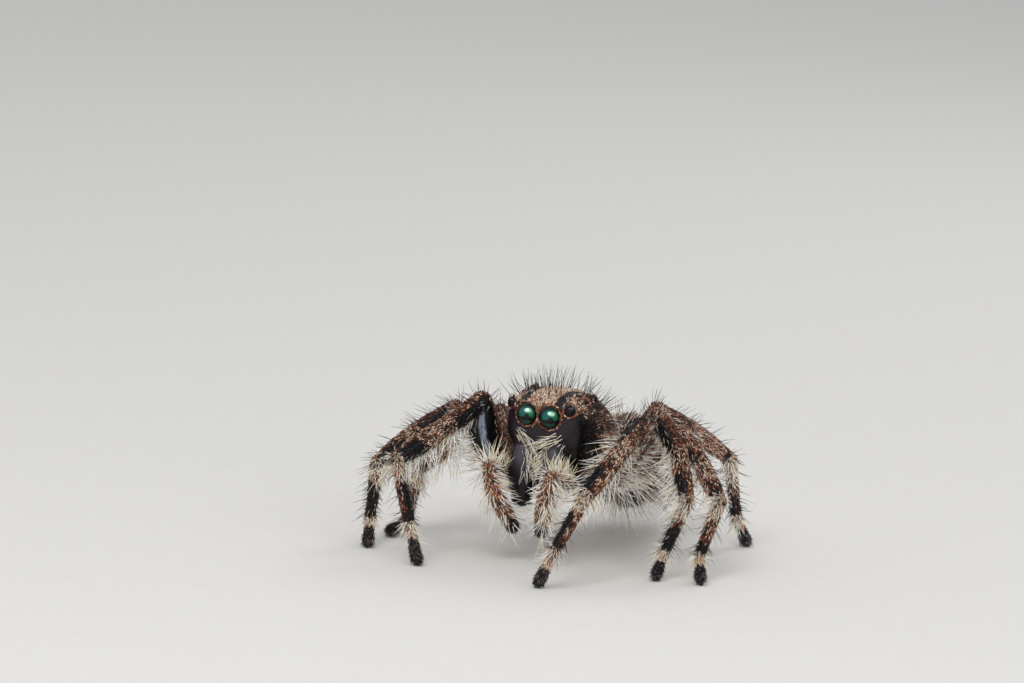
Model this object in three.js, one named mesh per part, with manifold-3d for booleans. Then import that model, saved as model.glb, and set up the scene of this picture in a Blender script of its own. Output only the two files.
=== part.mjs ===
// A male jumping spider at life size, alert, with its legs spread and its front knees held high.
// Millimetres. It faces -Y, its left side is +X, and its feet stand on the floor at Z = 0.
// Each surface is drawn out to the reach of the scales and short hair that cover the real animal.

import * as THREE from "three";
import { mergeVertices } from "three/addons/utils/BufferGeometryUtils.js";
import Module from "manifold-3d";

const wasm = await Module();
wasm.setup();

// ---------------------------------------------------------------- driving dimensions

const EYE_LINE = 5.0; // height of the two big front eyes
const GAP = 0.04; // clearance between neighbouring pieces
const SOLE = 0.22; // height of the middle of each foot's tip above the floor
const LIMB_SIDES = 10;
const LIMB_RINGS = 2;
const LIMB_ROUNDING = [0, 0.3]; // shares of a round end that have a ring
const BODY_SIDES = 20;
const BODY_ROUNDING = [0, 0.12, 0.5];
const ROUND = 2; // bluntness of a round end, where a larger number is flatter
const REACH = 60; // edge of a cutting block, larger than the animal
const MERGE = 1e-5; // vertices nearer to each other than this are one
const FLATNESS = 0.01; // facets are joined where the surface moves by less than this

// The head and thorax under one shield: place along the body, half width, top, widest height, underside.
const CEPHALOTHORAX = {
  from: -0.15,
  to: 4.35,
  caps: [1.0, 0.9],
  bluntness: [4, 2.2],
  square: [2.7, 2.8],
  rings: 5,
  stations: [
    [-0.15, 1.4, 5.6, 4.85, 3.75],
    [0.5, 1.54, 5.73, 4.6, 3.45],
    [1.2, 1.64, 5.79, 4.3, 3.05],
    [2.0, 1.64, 5.67, 4.1, 2.78],
    [2.8, 1.52, 5.12, 3.95, 2.75],
    [3.6, 1.3, 4.42, 3.7, 2.8],
    [4.35, 0.9, 3.8, 3.4, 2.9],
  ],
};

// The abdomen, an egg carried close behind the thorax.
const ABDOMEN = {
  from: 4.6,
  to: 9.9,
  caps: [1.9, 3.0],
  bluntness: [2.1, 2.4],
  square: [2.1, 2.0],
  rings: 2,
  stations: [
    [4.6, 1.45, 4.2, 3.0, 1.3],
    [6.0, 1.65, 4.3, 2.8, 0.95],
    [7.4, 1.75, 4.2, 2.6, 0.9],
    [9.9, 1.5, 3.3, 2.2, 1.1],
  ],
};

// The longest bristles of the crown, in rows across it: each row's place along the body, the places
// across it on the left side, and the height of its tips.
const CREST = {
  rows: [
    { y: 0.35, across: [0.28, 0.85], tip: 6.42 },
    { y: 1.15, across: [0.3, 0.9], tip: 6.52 },
    { y: 1.95, across: [0], tip: 6.42 },
  ],
  foot: 5.2, // height of their buried ends
  lean: 0.16, // how far a tip lies outside its foot, for each millimetre across
  droop: 0.22, // how much lower a tip is, for each millimetre across
};

// The longest hairs at the abdomen's end: buried end and tip of each on the left side or the middle.
const TAIL = [
  { from: [0.2, 9.1, 2.8], to: [0.5, 10.9, 2.85] },
  { from: [0, 9.1, 2.9], to: [0, 10.95, 3.3] },
];
const SPIKE = { radius: 0.17, sides: 3 }; // of a bristle or hair at its buried end

const PEDICEL = { from: 4.1, to: 4.95, radius: 0.34, height: 3.2 };
const SPINNERETS = { from: 9.5, to: 10.3, height: 2.2, spread: 0.14, radius: 0.26, sides: 6 };

// Eye pairs: sideways place, place along the body, height above the eye line, radius.
const EYES = {
  front_middle: { at: [0.42, -0.06, 0], radius: 0.38, sides: 12, rings: 8 },
  front_side: { at: [1.08, 0.06, 0.3], radius: 0.19, sides: 8, rings: 5 },
  small: { at: [1.18, 0.95, 0.5], radius: 0.085, sides: 8, rings: 4 },
  rear: { at: [1.14, 1.55, 0.52], radius: 0.16, sides: 8, rings: 5 },
};

// The jaws hang from under the face: share of the length, reach forwards, backwards, sideways.
const CHELICERA = {
  top: [0.55, 0.14, 3.65],
  tip: [0.5, -0.05, 2.2],
  sides: 12,
  girth: [
    [0, 0.42, 0.42, 0.48],
    [0.25, 0.46, 0.42, 0.52],
    [0.65, 0.44, 0.4, 0.5],
    [1, 0.34, 0.34, 0.42],
  ],
};

// The feelers: joints from hip to tip, on the left side.
const PALP = {
  joints: [
    [1.2, 0.3, 2.8],
    [1.2, -1.15, 3.25],
    [0.98, -1.1, 2.45],
    [0.55, -0.4, 1.2],
  ],
  parts: ["femur", "tibia", "cymbium"],
  girth: [
    [
      [0, 0.25, 0.25, 0.25],
      [0.6, 0.27, 0.27, 0.25],
      [1, 0.27, 0.27, 0.25],
    ],
    [
      [0, 0.28, 0.28, 0.27],
      [1, 0.33, 0.33, 0.32],
    ],
    [
      [0, 0.33, 0.33, 0.32],
      [0.5, 0.34, 0.32, 0.33],
      [1, 0.26, 0.25, 0.26],
    ],
  ],
};

const LEG_PARTS = ["femur", "patella", "tibia", "metatarsus", "tarsus"];

// Legs from front to back: inner and outer end of the coxa, lengths from femur to tarsus, stoutness.
const LEG_PAIRS = {
  1: { root: [0.8, 1.3, 2.9], hip: [2.05, 0.65, 2.9], lengths: [2.45, 1.5, 2.2, 2.2, 1.25], stout: 1.05 },
  2: { root: [0.8, 2.0, 2.85], hip: [1.9, 1.9, 2.8], lengths: [2.75, 1.5, 1.75, 1.9, 0.9], stout: 0.95 },
  3: { root: [0.8, 2.65, 2.85], hip: [1.9, 2.75, 2.8], lengths: [2.5, 1.3, 1.6, 1.95, 0.95], stout: 0.92 },
  4: { root: [0.75, 3.3, 2.9], hip: [1.7, 3.5, 2.85], lengths: [2.5, 1.4, 1.8, 2.05, 1.0], stout: 0.92 },
};

// How each leg is held. Turn is the angle outwards from straight ahead and rise the angle above
// the horizon, in degrees, from femur to tarsus. The tarsus falls as far as the floor.
const POSE = {
  1: {
    left: { turn: [94, 9, -20, -14, -92], rise: [56, -13, -44, -51] },
    right: { turn: [3, 21, 30, 77, -61], rise: [67, -26, -29, -105] },
  },
  2: {
    left: { turn: [98, 70, 50, 99, 3], rise: [58, -42, -54, -111] },
    right: { turn: [55, 42, 36, 36, -27], rise: [40, -28, -38, -86] },
  },
  3: {
    left: { turn: [99, 75, 61, 154, 33], rise: [42, -37, -39, -111] },
    right: { turn: [57, 52, 85, 56, 2], rise: [42, -57, -44, -80] },
  },
  4: {
    left: { turn: [178, 134, 139, 147, 148], rise: [49, -25, -35, -79] },
    right: { turn: [109, 147, 169, 166, 165], rise: [27, -29, -53, -36] },
  },
};

// Girth of each leg part: share of its length, reach over, under and to each side of its axis.
const LEG_GIRTH = {
  femur: [
    [0, 0.37, 0.37, 0.35],
    [0.35, 0.55, 0.5, 0.42],
    [0.75, 0.54, 0.48, 0.42],
    [1, 0.44, 0.42, 0.39],
  ],
  patella: [
    [0, 0.42, 0.42, 0.37],
    [0.5, 0.42, 0.44, 0.38],
    [1, 0.38, 0.42, 0.36],
  ],
  tibia: [
    [0, 0.38, 0.42, 0.36],
    [0.45, 0.4, 0.48, 0.37],
    [1, 0.32, 0.36, 0.32],
  ],
  metatarsus: [
    [0, 0.28, 0.29, 0.28],
    [0.5, 0.26, 0.27, 0.26],
    [1, 0.25, 0.25, 0.25],
  ],
  tarsus: [
    [0, 0.25, 0.26, 0.25],
    [0.6, 0.25, 0.25, 0.25],
    [1, 0.27, 0.27, 0.27],
  ],
};
// The front femora are swollen towards the knee.
const FRONT_FEMUR = [
  [0, 0.37, 0.37, 0.35],
  [0.35, 0.55, 0.6, 0.43],
  [0.75, 0.54, 0.7, 0.45],
  [1, 0.44, 0.45, 0.4],
];
const COXA_SIDES = 8;
const COXA_GIRTH = [
  [0, 0.29, 0.29, 0.29],
  [1, 0.36, 0.36, 0.36],
];
const SLIM_PARTS = ["metatarsus", "tarsus"]; // as thin as a leg may be, whatever its stoutness

const FINISH = {
  shield: { color: 0x33251f, roughness: 0.38, metalness: 0.25 },
  abdomen: { color: 0x7d6c62, roughness: 0.8, metalness: 0.0 },
  joint: { color: 0x2b2422, roughness: 0.6, metalness: 0.0 },
  great_eye: { color: 0x0e5a45, roughness: 0.06, metalness: 0.55 },
  dark_eye: { color: 0x0a0a10, roughness: 0.06, metalness: 0.1 },
  jaw: { color: 0x39343f, roughness: 0.42, metalness: 0.2 },
  palp: { color: 0xb9957a, roughness: 0.75, metalness: 0.0 },
  femur: { color: 0x3b2c2a, roughness: 0.5, metalness: 0.1 },
  patella: { color: 0x8a5a45, roughness: 0.6, metalness: 0.15 },
  tibia: { color: 0x5d4338, roughness: 0.55, metalness: 0.15 },
  metatarsus: { color: 0x4a3b38, roughness: 0.5, metalness: 0.1 },
  tarsus: { color: 0x2a2a30, roughness: 0.55, metalness: 0.05 },
};

// ---------------------------------------------------------------- solids

// A closed geometry as a solid. Vertices at one place are merged, and slivers with no area dropped.
function solidOf(geometry) {
  const bare = geometry.index ? geometry.toNonIndexed() : geometry.clone();
  bare.deleteAttribute("normal");
  bare.deleteAttribute("uv");
  const merged = mergeVertices(bare, MERGE);
  const corners = merged.index.array;
  const kept = [];
  for (let i = 0; i < corners.length; i += 3) {
    const [a, b, c] = [corners[i], corners[i + 1], corners[i + 2]];
    if (a !== b && b !== c && c !== a) kept.push(a, b, c);
  }
  return new wasm.Manifold(
    new wasm.Mesh({
      numProp: 3,
      vertProperties: merged.attributes.position.array,
      triVerts: new Uint32Array(kept),
    }),
  );
}

// A solid as a geometry whose zero lies at the pivot, flat shaded as the facets are.
function geometryOf(solid, pivot) {
  const { vertProperties, triVerts } = solid.simplify(FLATNESS).getMesh();
  const geometry = new THREE.BufferGeometry();
  geometry.setAttribute("position", new THREE.BufferAttribute(new Float32Array(vertProperties), 3));
  geometry.setIndex([...triVerts]);
  geometry.translate(-pivot.x, -pivot.y, -pivot.z);
  geometry.computeVertexNormals();
  return geometry;
}

// A block that fills the side of a plane that its normal points to.
function block(point, normal) {
  const box = new THREE.BoxGeometry(REACH, REACH, REACH);
  box.translate(0, 0, REACH / 2);
  box.applyQuaternion(new THREE.Quaternion().setFromUnitVectors(new THREE.Vector3(0, 0, 1), normal));
  box.translate(point.x, point.y, point.z);
  return solidOf(box);
}

// Smooth values between stations: the first number of each is its place, the rest are blended.
function along(stations) {
  const places = stations.map((s) => s[0]);
  const values = stations.flatMap((s) => s.slice(1));
  const blend = new THREE.CubicInterpolant(places, values, stations[0].length - 1);
  return (place) => Array.from(blend.evaluate(THREE.MathUtils.clamp(place, places[0], places.at(-1))));
}

// How far the outline has opened at a distance from a rounded end of the given length.
function opening(distance, cap, bluntness) {
  const short = Math.max(0, 1 - distance / cap);
  return Math.pow(1 - Math.pow(short, bluntness), 1 / bluntness);
}

// Places along a form: the given shares of its rounded ends, evenly spaced between them.
function ringPlaces(from, to, caps, inner, shares) {
  const start = shares.map((s) => from + s * caps[0]);
  const end = shares.map((s) => to - s * caps[1]).reverse();
  const low = from + caps[0];
  const high = to - caps[1];
  const middle = [];
  for (let i = 0; i <= inner; i++) middle.push(THREE.MathUtils.lerp(low, high, i / inner));
  return [...start, ...middle, ...end];
}

// A closed form about +Y: a lathe of radius 1, drawn out to the section at each place.
// The section gives the half width, the top, the widest height and the bottom.
function loft({ places, sides, open, section, square }) {
  const profile = places.map((y) => new THREE.Vector2(open(y), y));
  const shape = new THREE.LatheGeometry(profile, sides);
  const position = shape.attributes.position;
  for (let i = 0; i < position.count; i++) {
    const column = Math.floor(i / places.length) % sides;
    const place = i % places.length;
    const turn = (2 * Math.PI * column) / sides;
    const [half, top, middle, bottom] = section(places[place]);
    const [across, upright] = [Math.sin(turn), Math.cos(turn)];
    const power = 2 / (upright > 0 ? square[0] : square[1]);
    const rise = upright > 0 ? top - middle : middle - bottom;
    const radius = profile[place].x;
    position.setXYZ(
      i,
      radius * half * Math.sign(across) * Math.pow(Math.abs(across), power),
      places[place],
      middle + radius * rise * Math.sign(upright) * Math.pow(Math.abs(upright), power),
    );
  }
  return shape;
}

// A body form from its stations, grown outwards by a clearance.
function bodySolid(spec, grow = 0) {
  const values = along(spec.stations);
  const [from, to] = [spec.from - grow, spec.to + grow];
  return solidOf(
    loft({
      places: ringPlaces(from, to, spec.caps, spec.rings, BODY_ROUNDING),
      sides: BODY_SIDES,
      open: (y) =>
        opening(y - from, spec.caps[0], spec.bluntness[0]) *
        opening(to - y, spec.caps[1], spec.bluntness[1]),
      section: (y) => {
        const [half, top, middle, bottom] = values(y);
        return [half + grow, top + grow, middle, bottom - grow];
      },
      square: spec.square,
    }),
  );
}

// A limb part between two joints, with a round end past each, grown outwards by a clearance.
// Over is the direction in which the girth's first reach is measured.
function limbSolid(start, end, girth, over, grow = 0, sides = LIMB_SIDES) {
  const axis = end.clone().sub(start);
  const length = axis.length();
  axis.normalize();
  const up = over.clone().addScaledVector(axis, -over.dot(axis)).normalize();
  const side = axis.clone().cross(up);
  const values = along(girth);
  const caps = [girth[0][3] + grow, girth.at(-1)[3] + grow];
  const shape = loft({
    places: ringPlaces(-caps[0], length + caps[1], caps, LIMB_RINGS, LIMB_ROUNDING),
    sides,
    open: (y) => opening(y + caps[0], caps[0], ROUND) * opening(length + caps[1] - y, caps[1], ROUND),
    section: (y) => {
      const [above, below, beside] = values(y / length);
      return [beside + grow, above + grow, 0, -below - grow];
    },
    square: [ROUND, ROUND],
  });
  shape.applyMatrix4(new THREE.Matrix4().makeBasis(side, axis, up).setPosition(start));
  return solidOf(shape);
}

// ---------------------------------------------------------------- joints and parting cuts

// The point at a place on the left side, or its mirror on the right.
function sided([x, y, z], side) {
  return new THREE.Vector3(side === "left" ? x : -x, y, z);
}

// A unit vector turned outwards from straight ahead and raised above the horizon, in degrees.
function heading(turn, rise, side) {
  const [t, r] = [THREE.MathUtils.degToRad(turn), THREE.MathUtils.degToRad(rise)];
  return sided([Math.sin(t) * Math.cos(r), -Math.cos(t) * Math.cos(r), Math.sin(r)], side);
}

// The joints of a leg from hip to tip.
function legJoints(pair, side) {
  const { hip, lengths } = LEG_PAIRS[pair];
  const { turn, rise } = POSE[pair][side];
  const joints = [sided(hip, side)];
  lengths.forEach((length, i) => {
    const last = joints.at(-1);
    const fall = THREE.MathUtils.clamp((SOLE - last.z) / length, -1, 1);
    const slope = i < rise.length ? rise[i] : THREE.MathUtils.radToDeg(Math.asin(fall));
    joints.push(last.clone().addScaledVector(heading(turn[i], slope, side), length));
  });
  return joints;
}

// The direction that the joint at the end of a limb's first part points to.
function kneeward([hip, knee, end]) {
  const inwards = knee.clone().sub(hip).normalize();
  return inwards.sub(end.clone().sub(knee).normalize()).normalize();
}

// The direction that the bend of a jointed limb points to, away from the line between its ends.
function outward(joints) {
  const chord = joints.at(-1).clone().sub(joints[0]);
  const bend = joints[1].clone().sub(joints[0]);
  return bend.addScaledVector(chord, -bend.dot(chord) / chord.lengthSq()).normalize();
}

// Parts a chain of limb parts by a thin cut through each joint, square to the bend.
function partChain(solids, joints) {
  const directions = solids.map((_, i) => joints[i + 1].clone().sub(joints[i]).normalize());
  for (let i = 0; i + 1 < solids.length; i++) {
    const normal = directions[i].clone().add(directions[i + 1]).normalize();
    const joint = joints[i + 1];
    solids[i] = solids[i].subtract(block(joint.clone().addScaledVector(normal, -GAP / 2), normal));
    const back = normal.clone().negate();
    solids[i + 1] = solids[i + 1].subtract(block(joint.clone().addScaledVector(back, -GAP / 2), back));
  }
  return solids;
}

// ---------------------------------------------------------------- the model

const spider = new THREE.Group();
spider.name = "jumping_spider";

// Adds one named piece to a group, with its origin at the pivot.
function addPiece(group, name, solid, pivot, finish) {
  const material = new THREE.MeshStandardMaterial({ ...FINISH[finish], flatShading: true });
  const mesh = new THREE.Mesh(geometryOf(solid, pivot), material);
  mesh.name = name;
  mesh.position.copy(pivot);
  group.add(mesh);
}

function eyeSolid({ at, radius, sides, rings }, side, grow = 0) {
  const ball = new THREE.SphereGeometry(radius + grow, sides, rings);
  const centre = sided([at[0], at[1], EYE_LINE + at[2]], side);
  return solidOf(ball.translate(centre.x, centre.y, centre.z));
}

function cheliceraSolid(side, grow = 0) {
  const forward = new THREE.Vector3(0, -1, 0);
  const [top, tip] = [CHELICERA.top, CHELICERA.tip].map((p) => sided(p, side));
  return limbSolid(top, tip, CHELICERA.girth, forward, grow, CHELICERA.sides);
}

// Head, thorax, waist, abdomen and spinnerets.
// A bristle, as a slim spike.
function spikeSolid(from, to) {
  const cone = new THREE.ConeGeometry(SPIKE.radius, to.distanceTo(from), SPIKE.sides, 1);
  const lie = to.clone().sub(from).normalize();
  cone.applyQuaternion(new THREE.Quaternion().setFromUnitVectors(new THREE.Vector3(0, 1, 0), lie));
  return solidOf(cone.translate(...from.clone().add(to).multiplyScalar(0.5).toArray()));
}

// A spike on each side, or one in the middle.
function spikePair({ from, to }) {
  const sides = from[0] || to[0] ? ["left", "right"] : ["left"];
  return sides.map((side) => spikeSolid(sided(from, side), sided(to, side)));
}

// The crown's longest bristles, which start inside the head.
function crestSpikes() {
  const { rows, foot, lean, droop } = CREST;
  return rows.flatMap(({ y, across, tip }) =>
    across.flatMap((x) => spikePair({ from: [x, y, foot], to: [x * (1 + lean), y, tip - droop * x] })),
  );
}

function addBody(group) {
  let thorax = bodySolid(CEPHALOTHORAX);
  for (const spike of crestSpikes()) thorax = thorax.add(spike);
  for (const side of ["left", "right"]) {
    for (const eye of Object.values(EYES)) thorax = thorax.subtract(eyeSolid(eye, side, GAP));
    thorax = thorax.subtract(cheliceraSolid(side, GAP));
  }
  addPiece(group, "cephalothorax", thorax, new THREE.Vector3(0, CEPHALOTHORAX.from, EYE_LINE), "shield");

  const waist = new THREE.Vector3(0, PEDICEL.from, PEDICEL.height);
  const waistEnd = new THREE.Vector3(0, PEDICEL.to, PEDICEL.height);
  const round = [0, 1].map((share) => [share, PEDICEL.radius, PEDICEL.radius, PEDICEL.radius]);
  const pedicel = limbSolid(waist, waistEnd, round, new THREE.Vector3(0, 0, 1))
    .subtract(bodySolid(CEPHALOTHORAX, GAP))
    .subtract(bodySolid(ABDOMEN, GAP));
  addPiece(group, "pedicel", pedicel, waist, "joint");

  const tail = new THREE.Vector3(0, SPINNERETS.from, SPINNERETS.height);
  const spinnerets = spinneretSolid().subtract(bodySolid(ABDOMEN, GAP));
  let abdomen = bodySolid(ABDOMEN);
  for (const spike of TAIL.flatMap(spikePair)) abdomen = abdomen.add(spike);
  addPiece(group, "abdomen", abdomen, tail, "abdomen");
  addPiece(group, "spinnerets", spinnerets, tail, "joint");
}

// Four stubby spinnerets that grow together at their roots.
function spinneretSolid() {
  const { from, to, height, spread, radius } = SPINNERETS;
  const girth = [
    [0, radius, radius, radius],
    [1, radius / 2, radius / 2, radius / 2],
  ];
  const up = new THREE.Vector3(0, 0, 1);
  let solid;
  for (const across of [-spread, spread]) {
    for (const lift of [-spread, spread]) {
      const root = new THREE.Vector3(across, from, height + lift);
      const tip = new THREE.Vector3(across, to - radius / 2, height + lift);
      const stub = limbSolid(root, tip, girth, up, 0, SPINNERETS.sides);
      solid = solid ? solid.add(stub) : stub;
    }
  }
  return solid;
}

function addEyes(group, side) {
  for (const [name, eye] of Object.entries(EYES)) {
    const centre = sided([eye.at[0], eye.at[1], EYE_LINE + eye.at[2]], side);
    const finish = name === "front_middle" ? "great_eye" : "dark_eye";
    addPiece(group, `eye_${name}_${side}`, eyeSolid(eye, side), centre, finish);
  }
}

// The feeler beside the jaws: femur, the short parts after its knee, and the swollen tip.
function addPalp(group, side, head) {
  const joints = PALP.joints.map((p) => sided(p, side));
  const over = outward(joints);
  const solids = PALP.girth.map((girth, i) => limbSolid(joints[i], joints[i + 1], girth, over));
  partChain(solids, joints);
  solids.forEach((solid, i) => {
    const clear = solid.subtract(cheliceraSolid(side, GAP)).subtract(head);
    addPiece(group, `palp_${side}_${PALP.parts[i]}`, clear, joints[i], "palp");
  });
}

// One leg. Its femur carries the coxa, which reaches under the thorax, and its foot ends flat on the floor.
function addLeg(group, pair, side, body) {
  const { root, stout } = LEG_PAIRS[pair];
  const joints = legJoints(pair, side);
  const over = outward(joints);
  const upper = kneeward(joints);
  const solids = LEG_PARTS.map((part, i) => {
    const scale = SLIM_PARTS.includes(part) ? 1 : stout;
    const plan = pair === "1" && part === "femur" ? FRONT_FEMUR : LEG_GIRTH[part];
    const girth = plan.map(([share, ...reach]) => [share, ...reach.map((r) => r * scale)]);
    return limbSolid(joints[i], joints[i + 1], girth, i ? over : upper);
  });
  partChain(solids, joints);
  const up = new THREE.Vector3(0, 0, 1);
  const coxa = limbSolid(sided(root, side), joints[0], COXA_GIRTH, up, 0, COXA_SIDES);
  solids[0] = solids[0].add(coxa).subtract(body);
  const foot = solids.pop();
  solids.push(foot.subtract(block(new THREE.Vector3(), up.clone().negate())));
  solids.forEach((solid, i) => {
    addPiece(group, `leg_${pair}_${side}_${LEG_PARTS[i]}`, solid, joints[i], LEG_PARTS[i]);
  });
}

const body = new THREE.Group();
addBody(body);
spider.add(body);

const grownBody = bodySolid(CEPHALOTHORAX, GAP);
for (const side of ["left", "right"]) {
  const head = new THREE.Group();
  addEyes(head, side);
  addPiece(head, `chelicera_${side}`, cheliceraSolid(side), sided(CHELICERA.top, side), "jaw");
  addPalp(head, side, grownBody);
  spider.add(head);
  for (const pair of Object.keys(LEG_PAIRS)) {
    const leg = new THREE.Group();
    addLeg(leg, pair, side, grownBody);
    spider.add(leg);
  }
}

// The origin is on the floor, under the middle of the whole animal.
const reach = new THREE.Box3().setFromObject(spider, true);
const middle = reach.getCenter(new THREE.Vector3());
spider.position.set(-middle.x, -middle.y, -reach.min.z);

export default spider;
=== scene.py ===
"""A life-size male jumping spider, dressed for its still studio picture.

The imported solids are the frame. Over them lies one skin for all flesh, eight glossy eyes, fangs and claws,
and a coat of scales, hairs and bristles that grow from the skin. Sizes are in millimetres until a mesh is
finished. The spider faces -Y, its left side is +X, and its feet stand on the floor at Z = 0.
"""

import logging
import math
from dataclasses import dataclass, field, replace
from enum import Enum
from functools import partial
from itertools import product
from typing import Any, Callable, Iterable, Optional, Sequence

import bpy
import numpy as np
from mathutils import Matrix, Vector
from mathutils.bvhtree import BVHTree

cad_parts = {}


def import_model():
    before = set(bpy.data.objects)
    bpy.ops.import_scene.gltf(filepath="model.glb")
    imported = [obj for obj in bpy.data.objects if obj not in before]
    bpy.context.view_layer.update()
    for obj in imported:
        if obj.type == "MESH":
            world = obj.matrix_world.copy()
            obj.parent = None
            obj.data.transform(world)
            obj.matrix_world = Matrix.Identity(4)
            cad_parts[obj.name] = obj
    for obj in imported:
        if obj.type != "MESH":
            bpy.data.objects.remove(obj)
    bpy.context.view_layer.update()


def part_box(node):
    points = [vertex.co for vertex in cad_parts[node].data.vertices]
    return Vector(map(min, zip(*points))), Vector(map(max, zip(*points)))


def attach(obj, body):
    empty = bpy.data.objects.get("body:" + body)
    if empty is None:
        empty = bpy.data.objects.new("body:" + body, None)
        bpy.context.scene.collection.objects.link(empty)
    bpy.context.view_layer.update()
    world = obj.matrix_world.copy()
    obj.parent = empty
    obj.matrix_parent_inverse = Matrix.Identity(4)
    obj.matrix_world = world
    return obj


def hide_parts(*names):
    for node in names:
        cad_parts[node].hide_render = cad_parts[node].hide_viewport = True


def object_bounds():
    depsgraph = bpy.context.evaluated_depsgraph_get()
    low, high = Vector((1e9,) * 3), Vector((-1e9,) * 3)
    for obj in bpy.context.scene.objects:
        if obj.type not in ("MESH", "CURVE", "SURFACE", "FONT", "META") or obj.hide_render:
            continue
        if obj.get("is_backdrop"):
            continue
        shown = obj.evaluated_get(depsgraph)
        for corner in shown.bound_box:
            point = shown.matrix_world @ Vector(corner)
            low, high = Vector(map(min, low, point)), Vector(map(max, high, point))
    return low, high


LOG = logging.getLogger("jumping_spider")
MM = 0.001  # metres in a millimetre
BODY = "root"
TINT = "tint"  # the colour attribute that skin and coat share
GLOSS = "gloss"  # the skin's share of bare, glossy shell
PLACE = "place"  # where a point of an eye lies, in radii from its centre
BAKE_MAP = "OFBake"
PATCH = 0.003  # width of one tuft's patch on that map
FLOOR_CLEARANCE = 0.015  # lowest height of any hair
ROOT_DEPTH = 0.02  # how deep a hair's root lies in the skin
SCALE_SEAT = 0.004  # how far a scale's root stands off the skin
SCALE_THICKNESS = 0.16  # in widths
TAPER = 0.75  # share of its girth that a hair loses along its length
CELLS = 9  # the unwrap has this many rows and columns of forms
CAP_SHARE = 0.93  # how much of a limb's round ends bears coat
STEP = 1e-3  # step of u and a over which a surface's slope is taken
PROBES = 400  # places at which a form's largest area is sought
PRIMES = (73856093, 19349663, 83492791)  # they mix a lattice corner's numbers into one
ALONG_STEP = 0.7548776662466927  # steps of an even spread over two measures
ROUND_STEP = 0.5698402909980532

Array = np.ndarray
UPWARDS = np.array([0.0, 0.0, 1.0])
Piece = bpy.types.Object
Material = bpy.types.Material


class Side(Enum):
    """The spider's own sides, with the sign of X on each."""

    LEFT = 1
    RIGHT = -1

    @property
    def word(self) -> str:
        """The side's name as the frame's nodes spell it."""
        return self.name.lower()


class Region(Enum):
    """The parts of the skin that are marked and coated by rules of their own."""

    HEAD, WAIST, ABDOMEN, SPINNERET, JAW, MOUTH = range(6)
    COXA, FEMUR, PATELLA, TIBIA, METATARSUS, TARSUS = range(6, 12)
    PALP_FEMUR, PALP_TIBIA, PALP_TIP = range(12, 15)


LEG_REGIONS = (Region.FEMUR, Region.PATELLA, Region.TIBIA, Region.METATARSUS, Region.TARSUS)
ALL_LEG = (Region.COXA, *LEG_REGIONS)
HEAD = (Region.HEAD,)
LOWER_LEG = (Region.METATARSUS, Region.TARSUS)
JOINTED = (Region.FEMUR, Region.PATELLA, Region.TIBIA, Region.METATARSUS)
SHAFTS = (Region.TIBIA, Region.METATARSUS)
PALP_REGIONS = (Region.PALP_FEMUR, Region.PALP_TIBIA, Region.PALP_TIP)


# ---- small mathematics


def unit(vectors: Array) -> Array:
    """Scales vectors to length 1."""
    return vectors / np.maximum(np.linalg.norm(vectors, axis=-1, keepdims=True), 1e-12)


def ramp(values: Array, low: float, high: float) -> Array:
    """Rises smoothly from 0 at low to 1 at high, or falls where low is the larger."""
    share = np.clip((np.asarray(values) - low) / (high - low), 0.0, 1.0)
    return share * share * (3.0 - 2.0 * share)


def linear(hex_colour: int) -> Array:
    """A colour written as on a screen, as the three linear values that shaders take."""
    channels = np.array([hex_colour >> 16 & 255, hex_colour >> 8 & 255, hex_colour & 255]) / 255.0
    return np.where(channels <= 0.04045, channels / 12.92, ((channels + 0.055) / 1.055) ** 2.4)


def blend(stations: Sequence[Sequence[float]], places: Array) -> Array:
    """Smooth values between stations, by the same cubic as the solids use.

    Args:
        stations: rows of a place and the values there.
        places: where values are wanted; those past an end take its values.

    Returns:
        One row of values for each place.
    """
    table = np.asarray(stations, float)
    x, v = table[:, 0], table[:, 1:]
    t = np.clip(places, x[0], x[-1])
    i = np.clip(np.searchsorted(x, t, "right"), 1, len(x) - 1)
    first, last = i == 1, i == len(x) - 1
    before, after = np.where(first, i, i - 2), np.where(last, i - 1, np.minimum(i + 1, len(x) - 1))
    t0, t1 = x[i - 1], x[i]
    t_before = np.where(first, 2 * t0 - t1, x[before])
    t_after = np.where(last, 2 * t1 - t0, x[after])
    half = (t1 - t0) / 2
    wp, wn = half / (t0 - t_before), half / (t_after - t1)
    p = (t - t0) / (t1 - t0)
    weights = (
        -wp * p**3 + 2 * wp * p**2 - wp * p,
        (1 + wp) * p**3 + (-1.5 - 2 * wp) * p**2 + (-0.5 + wp) * p + 1,
        (-1 - wn) * p**3 + (1.5 + wn) * p**2 + 0.5 * p,
        wn * p**3 - wn * p**2,
    )
    return sum(w[:, None] * v[row] for w, row in zip(weights, (before, i - 1, i, after)))


def opening(distance: Array, cap: float, bluntness: float) -> Array:
    """How far an outline has opened at a distance from a rounded end of the given length."""
    short = np.clip(1 - distance / cap, 0.0, 1.0)
    return (1 - short**bluntness) ** (1 / bluntness)


def cloud(points: Array, size: float, seed: int) -> Array:
    """Smooth noise between -1 and 1.

    Args:
        points: places in millimetres.
        size: distance over which the noise changes.
        seed: picks one of many such noises.

    Returns:
        One value for each point.
    """
    lattice = points / size + 37.0 * seed
    corner = np.floor(lattice).astype(np.int64)
    part = lattice - corner
    part = part * part * (3 - 2 * part)
    total = np.zeros(len(points))
    for offset in product((0, 1), repeat=3):
        key = np.bitwise_xor.reduce((corner + offset) * PRIMES, axis=1)
        value = np.sin((key % 65521) * 12.9898 + seed) * 43758.5453
        value = 2 * (value - np.floor(value)) - 1
        total += value * np.where(offset, part, 1 - part).prod(axis=1)
    return total


def sided(point: Sequence[float], side: Side) -> Array:
    """The point at a place on the left side, or its mirror on the right."""
    return np.array([point[0] * side.value, point[1], point[2]], float)


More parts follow.
